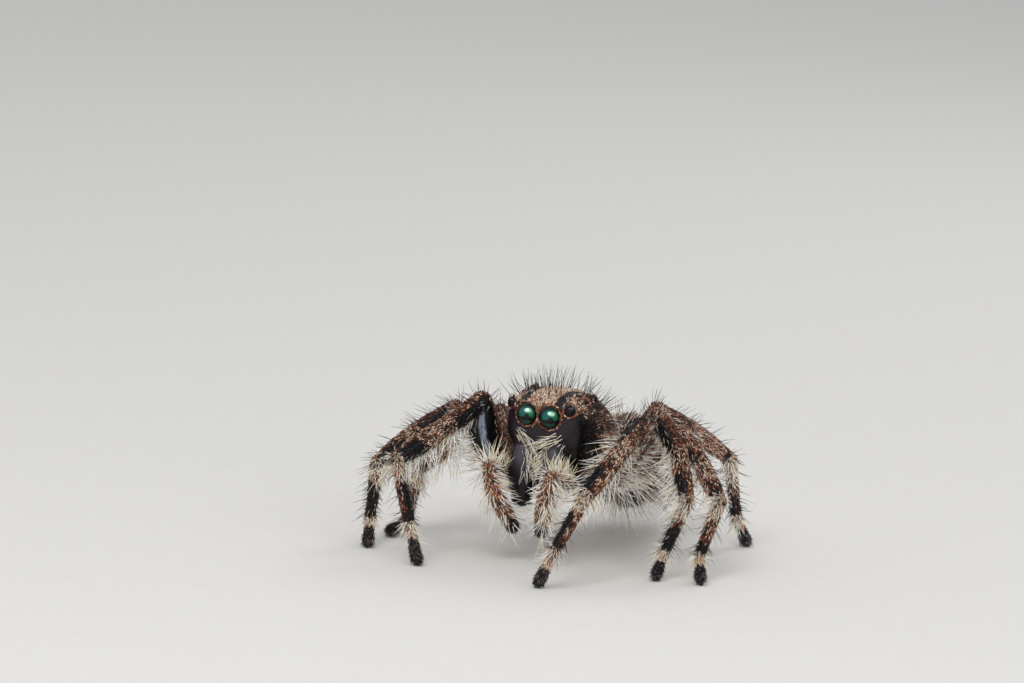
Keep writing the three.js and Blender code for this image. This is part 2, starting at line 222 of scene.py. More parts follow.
def heading(turn: float, rise: float, side: Side) -> Array:
    """A unit vector turned outwards from straight ahead and raised above the horizon, in degrees."""
    t, r = math.radians(turn), math.radians(rise)
    return sided((math.sin(t) * math.cos(r), -math.cos(t) * math.cos(r), math.sin(r)), side)


def outward(joints: Sequence[Array]) -> Array:
    """The direction in which a bent limb's first joint stands off the line between its ends."""
    chord, bend = joints[-1] - joints[0], joints[1] - joints[0]
    return unit(bend - chord * float(bend @ chord) / float(chord @ chord))


# ---- forms of the body


@dataclass
class Form:
    """A rounded form of the body. U runs along it from 0 to 1, and A round it from its top."""

    name: str
    region: Region
    cell: int = 0  # its place among the forms on the unwrap
    pair: int = 0  # the pair of legs that it belongs to
    turn: float = 1.0  # 1 or -1: which way A runs, so that a quarter turn of a limb always faces forwards

    def surface(self, u: Array, a: Array) -> Array:
        """The points of the skin at u and a."""
        raise NotImplementedError

    def ring_places(self) -> Array:
        """The places along u of the skin's rings, with both poles."""
        raise NotImplementedError

    def span(self) -> tuple[float, float]:
        """The stretch of u on which its coat grows."""
        return 0.005, 0.995

    def locate(self, points: Array) -> tuple[Array, Array, Array]:
        """Finds points on the form: their u, a, and how far each lies outside the skin."""
        raise NotImplementedError

    def slopes(self, u: Array, a: Array) -> tuple[Array, Array]:
        """How far the skin moves over two steps of u, and over two steps of a."""
        along = self.surface(u + STEP, a) - self.surface(u - STEP, a)
        return along, self.surface(u, a + STEP) - self.surface(u, a - STEP)

    def frames(self, u: Array, a: Array) -> tuple[Array, Array, Array]:
        """Roots, outward normals and the lie of the coat towards the far end, at u and a.

        Args:
            u: shares of the length.
            a: bearings round it.

        Returns:
            Three vectors for each place.
        """
        along, around = self.slopes(u, a)
        lie = unit(along)
        return self.surface(u, a), unit(np.cross(around, lie)) * self.turn, lie

    def areas(self, u: Array, a: Array) -> Array:
        """The skin's area for each unit of u and a."""
        along, around = self.slopes(u, a)
        return np.linalg.norm(np.cross(around / (2 * STEP), along / (2 * STEP)), axis=-1)


@dataclass
class Limb(Form):
    """A limb part between two joints, with a round end past each."""

    start: Array = field(default_factory=lambda: np.zeros(3))
    end: Array = field(default_factory=lambda: np.ones(3))
    girth: Sequence[Sequence[float]] = ()
    over: Array = field(default_factory=UPWARDS.copy)
    scale: float = 1.0
    depth: float = 0.0

    def __post_init__(self) -> None:
        """Works out the axes."""
        chord = self.end - self.start
        self.length = float(np.linalg.norm(chord))
        self.axis = chord / self.length
        self.up = unit(self.over - self.axis * float(self.over @ self.axis))
        self.fore = np.cross(self.axis, self.up) * self.turn
        self.caps = [self.girth[i][3] * self.scale - self.depth for i in (0, -1)]

    def span(self) -> tuple[float, float]:
        """The stretch of u on which its coat grows, with most of its round ends."""
        return -CAP_SHARE * self.caps[0] / self.length, 1 + CAP_SHARE * self.caps[1] / self.length

    def reach(self, u: Array) -> Array:
        """The reach over, under and beside the axis at u.

        Args:
            u: shares of the length.

        Returns:
            Three values for each.
        """
        near = opening(u * self.length + self.caps[0], self.caps[0], 2)
        far = opening(self.length * (1 - u) + self.caps[1], self.caps[1], 2)
        return (blend(self.girth, u) * self.scale - self.depth) * (near * far)[:, None]

    def surface(self, u: Array, a: Array) -> Array:
        """The points of the skin at u and a.

        Args:
            u: shares of the length.
            a: bearings round it.

        Returns:
            The points as rows.
        """
        reach = self.reach(u)
        upright = np.cos(a)
        rise = np.where(upright > 0, reach[:, 0], reach[:, 1]) * upright
        beside = reach[:, 2] * np.sin(a)
        centre = self.start + (u * self.length)[:, None] * self.axis
        return centre + rise[:, None] * self.up + beside[:, None] * self.fore

    def ring_places(self) -> Array:
        """The places along u of the skin's rings, with both poles.

        Returns:
            Rising values of u.
        """
        shares = np.array([0, 0.03, 0.12, 0.28, 0.5, 0.75])
        start = -self.caps[0] * (1 - shares) / self.length
        end = 1 + self.caps[1] * (1 - shares[::-1]) / self.length
        return np.concatenate([start, np.linspace(0, 1, 9), end])

    def locate(self, points: Array) -> tuple[Array, Array, Array]:
        """Finds points on the form.

        Args:
            points: places in millimetres.

        Returns:
            u, a and the gap of each.
        """
        offset = points - self.start
        u = offset @ self.axis / self.length
        rise, beside = offset @ self.up, offset @ self.fore
        reach = blend(self.girth, u) * self.scale - self.depth
        tall, wide = np.where(rise > 0, reach[:, 0], reach[:, 1]), reach[:, 2]
        bearing = np.arctan2(beside, rise)
        edge = 1 / np.maximum(np.hypot(np.cos(bearing) / tall, np.sin(bearing) / wide), 1e-6)
        past = np.maximum(np.maximum(-u, u - 1), 0) * self.length
        gap = np.hypot(np.hypot(rise, beside), past) - edge
        return u, np.arctan2(beside / wide, rise / tall), gap


@dataclass
class Shell(Form):
    """A form along the body, from its stations: half width, top, widest height and underside."""

    stations: Sequence[Sequence[float]] = ()
    caps: tuple[float, float] = (1.0, 1.0)
    bluntness: tuple[float, float] = (2.0, 2.0)
    square: tuple[float, float] = (2.0, 2.0)
    depth: float = 0.0

    def __post_init__(self) -> None:
        """Works out where the skin starts and ends."""
        self.low = self.stations[0][0] + self.depth
        self.high = self.stations[-1][0] - self.depth

    def sections(self, y: Array) -> tuple[Array, Array, Array, Array, Array]:
        """Measures the body's outline.

        Args:
            y: places along the body.

        Returns:
            Half width, rise, widest height, fall and opening.
        """
        near = opening(y - self.low, self.caps[0], self.bluntness[0])
        far = opening(self.high - y, self.caps[1], self.bluntness[1])
        half, top, middle, bottom = blend(self.stations, y).T
        rise, fall = top - self.depth - middle, middle - bottom - self.depth
        return half - self.depth, rise, middle, fall, near * far

    def surface(self, u: Array, a: Array) -> Array:
        """The points of the skin at u and a.

        Args:
            u: shares of the length.
            a: bearings round it.

        Returns:
            The points as rows.
        """
        y = self.low + u * (self.high - self.low)
        half, rise, middle, fall, open_share = self.sections(y)
        upright, across = np.cos(a), np.sin(a)
        power = np.where(upright > 0, 2 / self.square[0], 2 / self.square[1])
        x = open_share * half * np.sign(across) * np.abs(across) ** power
        height = np.where(upright > 0, rise, fall) * open_share
        return np.stack([x, y, middle + height * np.sign(upright) * np.abs(upright) ** power], axis=-1)

    def ring_places(self) -> Array:
        """The places along u of the skin's rings, with both poles.

        Returns:
            Rising values of u.
        """
        length = self.high - self.low
        shares = np.array([0, 0.004, 0.02, 0.06, 0.13, 0.25, 0.42, 0.65])
        start = shares * self.caps[0] / length
        end = 1 - shares[::-1] * self.caps[1] / length
        middle = np.linspace(self.caps[0] / length, 1 - self.caps[1] / length, 24)
        return np.concatenate([start, middle, end])

    def locate(self, points: Array) -> tuple[Array, Array, Array]:
        """Finds points on the form.

        Args:
            points: places in millimetres.

        Returns:
            u, a and the gap of each.
        """
        y = np.clip(points[:, 1], self.low + 1e-3, self.high - 1e-3)
        half, rise, middle, fall, open_share = self.sections(y)
        height = points[:, 2] - middle
        tall = np.where(height > 0, rise, fall)
        power = np.where(height > 0, self.square[0], self.square[1]) / 2
        across = np.abs(points[:, 0] / half) ** power * np.sign(points[:, 0])
        upright = np.abs(height / tall) ** power * np.sign(height)
        span = np.hypot(across, upright) ** (1 / power)
        gap = (span - open_share) * np.minimum(half, tall)
        past = np.abs(points[:, 1] - y)
        return (y - self.low) / (self.high - self.low), np.arctan2(across, upright), gap + past


# ---- the animal's plan

EYE_LINE = 5.0  # height of the two big front eyes


@dataclass(frozen=True)
class EyePlan:
    """One pair of eyes: place on the left side, radius, gaze, and the rim of skin around it."""

    name: str
    at: tuple[float, float, float]
    radius: float
    gaze: tuple[float, float]  # turned outwards and raised, in degrees
    rim: float  # thickness of the rim
    seat: float  # how far the rim lies forwards along the gaze, in radii
    great: bool = False

    def aim(self, side: Side) -> Array:
        """The unit vector of the eye's gaze on a side."""
        return heading(*self.gaze, side)

    def rim_centre(self, side: Side) -> Array:
        """The middle of the rim on a side."""
        return sided(self.at, side) + self.aim(side) * self.seat * self.radius


EYE_PLANS = (
    EyePlan("front_middle", (0.42, -0.06, EYE_LINE), 0.38, (6, 2), 0.05, 0.1, True),
    EyePlan("front_side", (1.08, 0.06, EYE_LINE + 0.3), 0.19, (32, 8), 0.05, 0.1),
    EyePlan("small", (1.18, 0.95, EYE_LINE + 0.5), 0.085, (70, 30), 0.02, 0.0),
    EyePlan("rear", (1.14, 1.55, EYE_LINE + 0.52), 0.16, (105, 25), 0.045, 0.0),
)


@dataclass(frozen=True)
class LegPlan:
    """A pair of legs: coxa from root to hip, lengths from femur to tarsus, and stoutness."""

    root: tuple[float, float, float]
    hip: tuple[float, float, float]
    lengths: tuple[float, ...]
    stout: float


LEG_PLANS = {
    1: LegPlan((0.8, 1.3, 2.9), (2.05, 0.65, 2.9), (2.45, 1.5, 2.2, 2.2, 1.25), 1.05),
    2: LegPlan((0.8, 2.0, 2.85), (1.9, 1.9, 2.8), (2.75, 1.5, 1.75, 1.9, 0.9), 0.95),
    3: LegPlan((0.8, 2.65, 2.85), (1.9, 2.75, 2.8), (2.5, 1.3, 1.6, 1.95, 0.95), 0.92),
    4: LegPlan((0.75, 3.3, 2.9), (1.7, 3.5, 2.85), (2.5, 1.4, 1.8, 2.05, 1.0), 0.92),
}

# How each leg is held: turn outwards from straight ahead, and rise above the horizon, in degrees.
POSE = {
    (1, Side.LEFT): ((94, 9, -20, -14, -92), (56, -13, -44, -51)),
    (1, Side.RIGHT): ((3, 21, 30, 77, -61), (67, -26, -29, -105)),
    (2, Side.LEFT): ((98, 70, 50, 99, 3), (58, -42, -54, -111)),
    (2, Side.RIGHT): ((55, 42, 36, 36, -27), (40, -28, -38, -86)),
    (3, Side.LEFT): ((99, 75, 61, 154, 33), (42, -37, -39, -111)),
    (3, Side.RIGHT): ((57, 52, 85, 56, 2), (42, -57, -44, -80)),
    (4, Side.LEFT): ((178, 134, 139, 147, 148), (49, -25, -35, -79)),
    (4, Side.RIGHT): ((109, 147, 169, 166, 165), (27, -29, -53, -36)),
}
SOLE = 0.22  # height of the middle of each foot's tip above the floor

# Reach of the solids at a share of each leg part: over, under and beside its axis.
LEG_GIRTH = {
    Region.COXA: ((0, 0.29, 0.29, 0.29), (1, 0.36, 0.36, 0.36)),
    Region.FEMUR: (
        (0, 0.37, 0.37, 0.35), (0.35, 0.55, 0.5, 0.42), (0.75, 0.54, 0.48, 0.42), (1, 0.44, 0.42, 0.39),
    ),
    Region.PATELLA: ((0, 0.42, 0.42, 0.37), (0.5, 0.42, 0.44, 0.38), (1, 0.38, 0.42, 0.36)),
    Region.TIBIA: ((0, 0.38, 0.42, 0.36), (0.45, 0.4, 0.48, 0.37), (1, 0.32, 0.36, 0.32)),
    Region.METATARSUS: ((0, 0.28, 0.29, 0.28), (0.5, 0.26, 0.27, 0.26), (1, 0.25, 0.25, 0.25)),
    Region.TARSUS: ((0, 0.25, 0.26, 0.25), (0.6, 0.25, 0.25, 0.25), (1, 0.27, 0.27, 0.27)),
}
# The front femora are swollen towards the knee.
FRONT_FEMUR = (
    (0, 0.37, 0.37, 0.35), (0.35, 0.55, 0.6, 0.43), (0.75, 0.54, 0.7, 0.45), (1, 0.44, 0.45, 0.4),
)
# How deep the skin lies inside the solids, under scales and short hair.
LEG_DEPTH = {
    Region.COXA: 0.06, Region.FEMUR: 0.07, Region.PATELLA: 0.09,
    Region.TIBIA: 0.09, Region.METATARSUS: 0.07, Region.TARSUS: 0.09,
}
SLIM = (Region.COXA, *LOWER_LEG)  # parts whose girth is the same on every leg


@dataclass
class Leg:
    """One leg, from its coxa to its foot."""

    number: int
    side: Side

    def joints(self) -> list[Array]:
        """The joints from hip to tip, as the solids have them.

        Returns:
            Six places.
        """
        plan = LEG_PLANS[self.number]
        turns, rises = POSE[self.number, self.side]
        joints = [sided(plan.hip, self.side)]
        for i, length in enumerate(plan.lengths):
            fall = max(-1.0, min(1.0, (SOLE - joints[-1][2]) / length))
            rise = rises[i] if i < len(rises) else math.degrees(math.asin(fall))
            joints.append(joints[-1] + heading(turns[i], rise, self.side) * length)
        return joints

    def forms(self) -> list[Limb]:
        """The skin's forms from coxa to tarsus.

        Returns:
            Six forms.
        """
        plan = LEG_PLANS[self.number]
        joints = self.joints()
        over = outward(joints)
        knee = unit(joints[1] - joints[0]) - unit(joints[2] - joints[1])
        overs = {Region.COXA: UPWARDS, Region.FEMUR: knee}
        ends = [sided(plan.root, self.side), *joints]
        girths = {**LEG_GIRTH, **({Region.FEMUR: FRONT_FEMUR} if self.number == 1 else {})}
        return [
            Limb(
                f"leg_{i}", region, turn=float(self.side.value), pair=self.number,
                start=ends[i], end=ends[i + 1], girth=girths[region], over=overs.get(region, over),
                scale=1.0 if region in SLIM else plan.stout, depth=LEG_DEPTH[region],
            )
            for i, region in enumerate(ALL_LEG)
        ]


@dataclass
class Palp:
    """One feeler, curled down before the jaws."""

    side: Side
    joints: tuple = ((1.2, 0.3, 2.8), (1.2, -1.15, 3.25), (0.98, -1.1, 2.45), (0.55, -0.4, 1.2))
    girth: tuple = (
        ((0, 0.25, 0.25, 0.25), (0.6, 0.27, 0.27, 0.25), (1, 0.27, 0.27, 0.25)),
        ((0, 0.28, 0.28, 0.27), (1, 0.33, 0.33, 0.32)),
        ((0, 0.33, 0.33, 0.32), (0.5, 0.34, 0.32, 0.33), (1, 0.26, 0.25, 0.26)),
    )
    depth: float = 0.06

    def forms(self) -> list[Limb]:
        """The skin's forms from femur to tip.

        Returns:
            Three forms.
        """
        joints = [sided(joint, self.side) for joint in self.joints]
        return [
            Limb(
                f"palp_{i}", region, turn=float(self.side.value), depth=self.depth,
                start=joints[i], end=joints[i + 1], girth=self.girth[i], over=outward(joints),
            )
            for i, region in enumerate(PALP_REGIONS)
        ]


@dataclass
class Trunk:
    """Head, thorax, waist, abdomen, spinnerets and the parts of the mouth."""

    head_stations: tuple = (
        (-0.15, 1.4, 5.6, 4.85, 3.75), (0.5, 1.54, 5.73, 4.6, 3.45), (1.2, 1.64, 5.79, 4.3, 3.05),
        (2.0, 1.64, 5.67, 4.1, 2.78), (2.8, 1.52, 5.12, 3.95, 2.75), (3.6, 1.3, 4.42, 3.7, 2.8),
        (4.35, 0.9, 3.8, 3.4, 2.9),
    )
    abdomen_stations: tuple = (
        (4.6, 1.45, 4.2, 3.0, 1.3), (6.0, 1.65, 4.3, 2.8, 0.95),
        (7.4, 1.75, 4.2, 2.6, 0.9), (9.9, 1.5, 3.3, 2.2, 1.1),
    )
    jaw_top: tuple = (0.55, 0.14, 3.65)
    jaw_tip: tuple = (0.5, -0.05, 2.2)
    jaw_girth: tuple = (
        (0, 0.42, 0.42, 0.48), (0.25, 0.46, 0.42, 0.52), (0.65, 0.44, 0.4, 0.5), (1, 0.34, 0.34, 0.42),
    )
    waist_girth: tuple = ((0, 0.3, 0.3, 0.3), (1, 0.3, 0.3, 0.3))
    spinneret_girth: tuple = ((0, 0.2, 0.2, 0.2), (1, 0.1, 0.1, 0.1))
    maxilla_girth: tuple = ((0, 0.2, 0.2, 0.26), (0.5, 0.2, 0.2, 0.3), (1, 0.16, 0.16, 0.24))
    sternum_girth: tuple = ((0, 0.12, 0.12, 0.35), (0.4, 0.16, 0.16, 0.62), (1, 0.1, 0.1, 0.3))

    def head(self) -> Shell:
        """The shield over head and thorax."""
        return Shell(
            "head", Region.HEAD, stations=self.head_stations, caps=(1.0, 0.9),
            bluntness=(4.0, 2.2), square=(2.7, 2.8), depth=0.04,
        )

    def abdomen(self) -> Shell:
        """The abdomen under its hair."""
        return Shell(
            "abdomen", Region.ABDOMEN, stations=self.abdomen_stations, caps=(1.9, 3.0),
            bluntness=(2.1, 2.4), square=(2.1, 2.0), depth=0.14,
        )

    def bar(
        self, name: str, region: Region, root: Sequence[float], tip: Sequence[float],
        girth: Sequence[Sequence[float]], side: Side = Side.LEFT,
    ) -> Limb:
        """A plain limb between two points, given on the left side."""
        return Limb(name, region, start=sided(root, side), end=sided(tip, side), girth=girth)

    def jaw(self, side: Side) -> Limb:
        """One jaw, whose top faces forwards.

        Args:
            side: its side.

        Returns:
            The form.
        """
        return Limb(
            f"jaw_{side.word}", Region.JAW, start=sided(self.jaw_top, side), end=sided(self.jaw_tip, side),
            girth=self.jaw_girth, over=np.array([0.0, -1.0, 0.0]), turn=float(side.value), depth=0.035,
        )

    def forms(self) -> list[Form]:
        """All forms of the trunk.

        Returns:
            The forms.
        """
        waist = self.bar("waist", Region.WAIST, (0.0, 4.0, 3.2), (0.0, 5.0, 3.2), self.waist_girth)
        forms: list[Form] = [self.head(), self.abdomen(), waist]
        for side in Side:
            forms.append(self.jaw(side))
            for lift in (-0.14, 0.14):
                root, tip = (0.14, 9.4, 2.2 + lift), (0.14, 9.4 + 0.72, 2.2 + lift)
                name = f"spinneret_{side.word}_{lift > 0:d}"
                forms.append(self.bar(name, Region.SPINNERET, root, tip, self.spinneret_girth, side))
            name, root, tip = f"maxilla_{side.word}", (0.75, 0.95, 2.85), (0.42, 0.5, 2.3)
            forms.append(self.bar(name, Region.MOUTH, root, tip, self.maxilla_girth, side))
        root, tip = (0.0, 1.0, 2.68), (0.0, 3.3, 2.72)
        return [*forms, self.bar("sternum", Region.MOUTH, root, tip, self.sternum_girth)]


# ---- markings


class Hue(Enum):
    """The colours of scales and hairs."""

    BLACK = 0x0B0A0D
    UMBER = 0x3C2020
    RUST = 0x8A412A
    COPPER = 0xC0784C
    ROSE = 0xDBAC99
    CREAM = 0xF6E6C8
    GREY = 0x8F8378
    WHITE = 0xFCF9F2
    STRAW = 0xF3E7C2
    SLATE = 0x303543
    VIOLET = 0x17151A
    # lilac: the painted sheen on the jaws
    LILAC = 0x55515A
    # plum: the painted violet sheen on the face front
    PLUM = 0x241D23

    @property
    def rgb(self) -> Array:
        """The hue's linear values."""
        return linear(self.value)


def palette(hues: Sequence[Hue]) -> Array:
    """The hues' linear values, one row for each."""
    return np.stack([hue.rgb for hue in hues])


SCALE_HUES = (Hue.BLACK, Hue.UMBER, Hue.RUST, Hue.COPPER, Hue.ROSE, Hue.CREAM, Hue.GREY)

# Recipes: shares of the scale hues, in that order.
FLECKED = (0.04, 0.1, 0.2, 0.26, 0.1, 0.3, 0)
MURKY = (0.34, 0.28, 0.24, 0.1, 0, 0.04, 0)
SHADED = (0.46, 0.28, 0.14, 0.07, 0, 0.05, 0)
RUSTY = (0.14, 0.26, 0.42, 0.14, 0.02, 0.02, 0)
PALE = (0, 0.02, 0.05, 0.08, 0.25, 0.6, 0)
DARK = (0.82, 0.16, 0.02, 0, 0, 0, 0)
SOOTY = (0.66, 0.1, 0.04, 0, 0, 0, 0.2)
DUSKY = (0.16, 0.34, 0.16, 0.08, 0.12, 0.02, 0.12)
FADED = (0, 0.04, 0.05, 0.11, 0.48, 0.06, 0.26)
SOFT_TAN = (0, 0.03, 0.03, 0.08, 0.46, 0.18, 0.22)
SOFT_BROWN = (0.04, 0.2, 0.16, 0.14, 0.26, 0.06, 0.14)
PINK_COPPER = (0, 0.02, 0.1, 0.16, 0.2, 0.52, 0)
FOXY = (0.05, 0.16, 0.2, 0.24, 0.17, 0.18, 0)
ROSY = (0, 0.1, 0.12, 0.22, 0.36, 0.12, 0.08)
LEAF = (0.24, 0.42, 0.18, 0.1, 0.03, 0.03, 0)
ASHEN = (0.1, 0.3, 0, 0, 0.1, 0, 0.5)


@dataclass
class Spots:
    """Some places on a form: u, a, and points in millimetres."""

    form: Form
    u: Array
    a: Array
    points: Array


@dataclass
class Pattern:
    """Markings at some places: how densely scales cover them, and the share of each hue."""

    cover: Array
    shares: Array  # one row for each place, one column for each hue
    gloss: Array
    hues: tuple[Hue, ...] = SCALE_HUES
    under: float = 0.3  # how much of their colour the skin shows under full cover
    plain: float = 0.0  # and where nothing covers it
    ground: Optional[Array] = None  # the bare shell's colours, black where there are none; the head's plum on the face front is a painted violet sheen

    def average(self) -> Array:
        """The mixed colour at each place."""
        return self.shares @ palette(self.hues) / self.shares.sum(axis=1, keepdims=True)

    def pick(self, rng: np.random.Generator) -> Array:
        """One hue for each place, drawn by its shares.

        Args:
            rng: draws them.

        Returns:
            Linear colours as rows.
        """
        steps = np.cumsum(self.shares, axis=1)
        draw = rng.random(len(steps)) * steps[:, -1]
        return palette(self.hues)[(draw[:, None] > steps).sum(axis=1).clip(0, len(self.hues) - 1)]

    def skin(self) -> Array:
        """The skin's own colour at each place.

        Returns:
            Linear colours as rows.
        """
        share = (self.plain + (self.under - self.plain) * self.cover)[:, None]
        ground = Hue.BLACK.rgb if self.ground is None else self.ground
        return ground * (1 - share) + self.average() * share


def layered(ground: Sequence[float], *layers: tuple[Array, Sequence[float]]) -> Array:
    """Shares of the hues where recipes are laid over a ground.

    Args:
        ground: the recipe below all others.
        layers: how much of each later recipe replaces those before it, and that recipe.

    Returns:
        One row of shares for each place.
    """
    shares = np.tile(np.array(ground, float), (len(layers[0][0]), 1))
    for mask, recipe in layers:
        shares = shares * (1 - mask[:, None]) + mask[:, None] * np.array(recipe, float)
    return shares


# the blue-grey of the painted sheen: a highlight painted on the front femora
PAINTED_SHEEN = 0xA6B1C6  # blue-grey
# Where the black of a tibia starts along it, and how far it keeps to the front face, for each pair.
BLACK_TIBIA = {1: (0.52, 0.15), 2: (0.42, 0.6), 3: (0.7, 0.65), 4: (0.8, 0.7)}
# What the scales of the paler femora are like: the darker and the lighter of two mixes.
PALE_FEMUR = {2: (SOFT_BROWN, FADED), 3: (SOFT_BROWN, FADED), 4: (DUSKY, SOFT_BROWN)}
# Where a metatarsus turns black all round.
BLACK_METATARSUS = {1: 0.8, 2: 0.45, 3: 0.78, 4: 0.72}
# How far the black of a patella keeps to its front face.
BLACK_PATELLA = {1: 0.1, 2: 0.4, 3: 0.9, 4: 1.2}


def leg_pattern(at: Spots) -> Pattern:
    """Markings of a leg: black and glossy in front, flecked with cream elsewhere, pale past the joints.

    Args:
        at: the places.

    Returns:
        Their markings.
    """
    form, u, points = at.form, at.u, at.points
    fore, top = np.sin(at.a), np.cos(at.a)
    grain = 0.15 * cloud(points, 0.22, 3) + 0.09 * cloud(points, 0.08, 13)
    fleck = ramp(cloud(points, 0.11, 4), -0.1, 0.4)
    dark, light = (DUSKY, SOFT_BROWN) if form.pair == 4 else (MURKY, FLECKED)
    pale = np.zeros(len(u))
    scaly = 0.5  # how much of the scales' cover stays on black
    if form.region in (Region.COXA, Region.FEMUR):
        scaly = 0.06 if form.pair == 1 else scaly
        black = ramp(0.7 * fore - 0.7 * top + grain, 0.3, 0.5) * (1.0 if form.pair == 1 else 0.3)
        dark, light = PALE_FEMUR.get(form.pair, (MURKY, RUSTY))
    elif form.region is Region.PATELLA:
        front = BLACK_PATELLA[form.pair]
        black = ramp(fore - 0.5 * top + grain, front, front + 0.2)
        light = RUSTY if form.pair == 2 else light
    elif form.region is Region.TIBIA:
        start, front = BLACK_TIBIA[form.pair]
        pale = ramp(u + grain, start, start - 0.3) * 0.35
        black = ramp(u + 0.5 * grain, start - 0.05, start + 0.05)
        black = black * ramp(fore + grain, front - 0.1, front + 0.1)
    elif form.region is Region.METATARSUS:
        start = BLACK_METATARSUS[form.pair]
        pale = ramp(u + grain, 0.36, 0.2) * 0.85
        front = ramp(u + grain, 0.28, 0.4) * ramp(fore + grain, 0.0, 0.25) * (form.pair < 3)
        black = np.maximum(front, ramp(u + grain, start - 0.06, start + 0.06))
    else:
        pale = np.ones(len(u))
        black = ramp(u + 0.6 * grain, 0.38, 0.52)
    below = ramp(top + grain, -0.3, -0.7) * (form.region in (Region.PATELLA, Region.TIBIA))
    shares = layered(dark, (fleck, light), (pale, PALE), (below * 0.8, SOFT_TAN),
                     (black, SOOTY if form.region is Region.TARSUS else DARK))
    gloss = black * (0.7 if form.region is Region.TARSUS else 1.0)
    return Pattern(1 - (1 - scaly) * black, shares, gloss, under=0.2)


def head_pattern(at: Spots) -> Pattern:
    """Markings of the shield: pale crown, black bands, gold-flecked sides, black face and cheeks, with a
    painted violet sheen on the face front.

    Args:
        at: the places.

    Returns:
        Their markings.
    """
    points = at.points
    x, y, z = np.abs(points[:, 0]), points[:, 1], points[:, 2]
    grain = cloud(points, 0.3, 5)
    fleck = ramp(cloud(points, 0.16, 6) - 0.2 * ramp(z, 5.5, 5.2), -0.1, 0.45)
    front = 1 - ramp(y, 1.6, 2.0)
    band_place = 0.62 + 0.25 * ramp(y, 1.0, 2.0) + 0.03 * grain
    band = ramp(np.abs(x - band_place), 0.17, 0.1) * front * ramp(z, 5.2, 5.35)
    crown = ramp(x - band_place, -0.04, -0.1) * front
    saddle = ramp(y, 1.9, 2.3) * ramp(y, 3.9, 3.3) * ramp(x + 0.1 * grain, 0.55, 0.35)
    edge_height = 5.1 - 0.45 * ramp(y, 0.2, 1.5) - 0.72 * ramp(y, 1.5, 3.4)
    cheek = ramp(z - edge_height + 0.1 * grain, 0.05, -0.1)
    margin_height = 3.35 + 1.05 * ramp(y, 1.2, 1.6) * ramp(y, 3.2, 2.2) + 0.1 * grain
    margin = ramp(y, 1.1, 1.35) * ramp(z - margin_height, 0.2, 0.0)
    behind = ramp(y, 1.9, 2.6) * 0.8
    slanted = points * [1.0, 1.0, 2.6] + points[:, 1:2] * [0.0, 0.0, 1.6]
    streak = ramp(cloud(slanted, 0.2, 8), 0.42, 0.66)
    cheek = cheek * (1 - np.maximum(behind, streak * ramp(y, 0.7, 1.1) * 0.8))
    face = ramp(y, 0.2, -0.02) * ramp(z, 4.74, 4.6)
    black = np.clip(np.maximum.reduce([band, cheek, face]) * (1 - margin), 0, 1)
    temple = ramp(y, 0.9, 0.5) * ramp(z, 5.2, 5.35) * ramp(x, 0.7, 0.8)
    shares = layered(SHADED, (fleck, FLECKED), (np.maximum(crown, temple * 0.6), PINK_COPPER),
                     (saddle * 0.7, PALE), (black, DARK), (margin, SOFT_BROWN))
    # the face front's plum ground is a painted violet sheen, a painted highlight
    brow = ramp(y, 0.34, 0.14)[:, None]
    ground = Hue.BLACK.rgb * (1 - brow) + Hue.PLUM.rgb * brow
    return Pattern(1 - (0.85 + 0.13 * brow[:, 0]) * black, shares, black, ground=ground)


def abdomen_pattern(at: Spots) -> Pattern:
    """Markings of the abdomen: rosy above with a spotted dark leaf, grey-brown flanks, ashen below.

    Args:
        at: the places.

    Returns:
        Their markings.
    """
    x, y, upright = np.abs(at.points[:, 0]), at.points[:, 1], np.cos(at.a)
    grain = cloud(at.points, 0.35, 7)
    leaf_edge = 0.55 + 0.16 * np.sin(y * 3.4) - 0.14 * ramp(y, 7.5, 9.5)
    top = ramp(upright + 0.12 * grain, 0.1, 0.5)
    leaf = top * ramp(x - leaf_edge + 0.08 * grain, 0.12, -0.05)
    spots = [ramp(np.hypot(x - 0.36, y - place - 0.5 * x), 0.2, 0.1) for place in (6.2, 7.3, 8.4)]
    belly = ramp(upright, -0.5, -0.8)
    layers = (top, ROSY), (leaf * 0.85, LEAF), (top * np.maximum.reduce(spots), PALE), (belly, ASHEN)
    return Pattern(np.ones(len(x)), layered(DUSKY, *layers), np.zeros(len(x)))


def palp_pattern(at: Spots) -> Pattern:
    """Markings of a feeler: foxy scales on top, with a dark tip.

    Args:
        at: the places.

    Returns:
        Their markings.
    """
    grain = 0.2 * cloud(at.points, 0.2, 9)
    tip = ramp(at.u + grain, 0.62, 0.8) * (at.form.region is Region.PALP_TIP)
    below = ramp(np.cos(at.a) + grain, 0.0, -0.4)
    return Pattern(1 - 0.5 * below, layered(FOXY, (below * 0.7, DUSKY), (tip, DARK)), tip * 0.3)


def jaw_pattern(at: Spots) -> Pattern:
    """Markings of a jaw: bare and nearly black, with a painted lilac sheen, a painted highlight, at the top
    of its front.

    Args:
        at: the places.

    Returns:
        Their markings.
    """
    height = at.points[:, 2]
    streak = 0.7 + 0.3 * cloud(at.points * [2.4, 1.0, 0.4], 0.25, 14)
    # painted sheen: a lilac highlight painted on the upper front of the jaw
    painted_jaw_sheen = ramp(height, 2.9, 3.6) * ramp(height, 4.05, 3.85) * ramp(np.cos(at.a - 0.3), 0.3, 0.8) * streak
    shares = np.stack([1 - painted_jaw_sheen, painted_jaw_sheen], axis=-1)
    gloss = np.full(len(height), 0.65)
    return Pattern(np.zeros(len(height)), shares, gloss, (Hue.VIOLET, Hue.LILAC), plain=1.0)


def plain_pattern(at: Spots) -> Pattern:
    """Markings of mouth, waist and spinnerets, which bear no scales."""
    hue, count = Hue.GREY if at.form.region is Region.SPINNERET else Hue.UMBER, len(at.u)
    return Pattern(np.zeros(count), np.ones((count, 1)), np.full(count, 0.3), (hue,), plain=0.8)


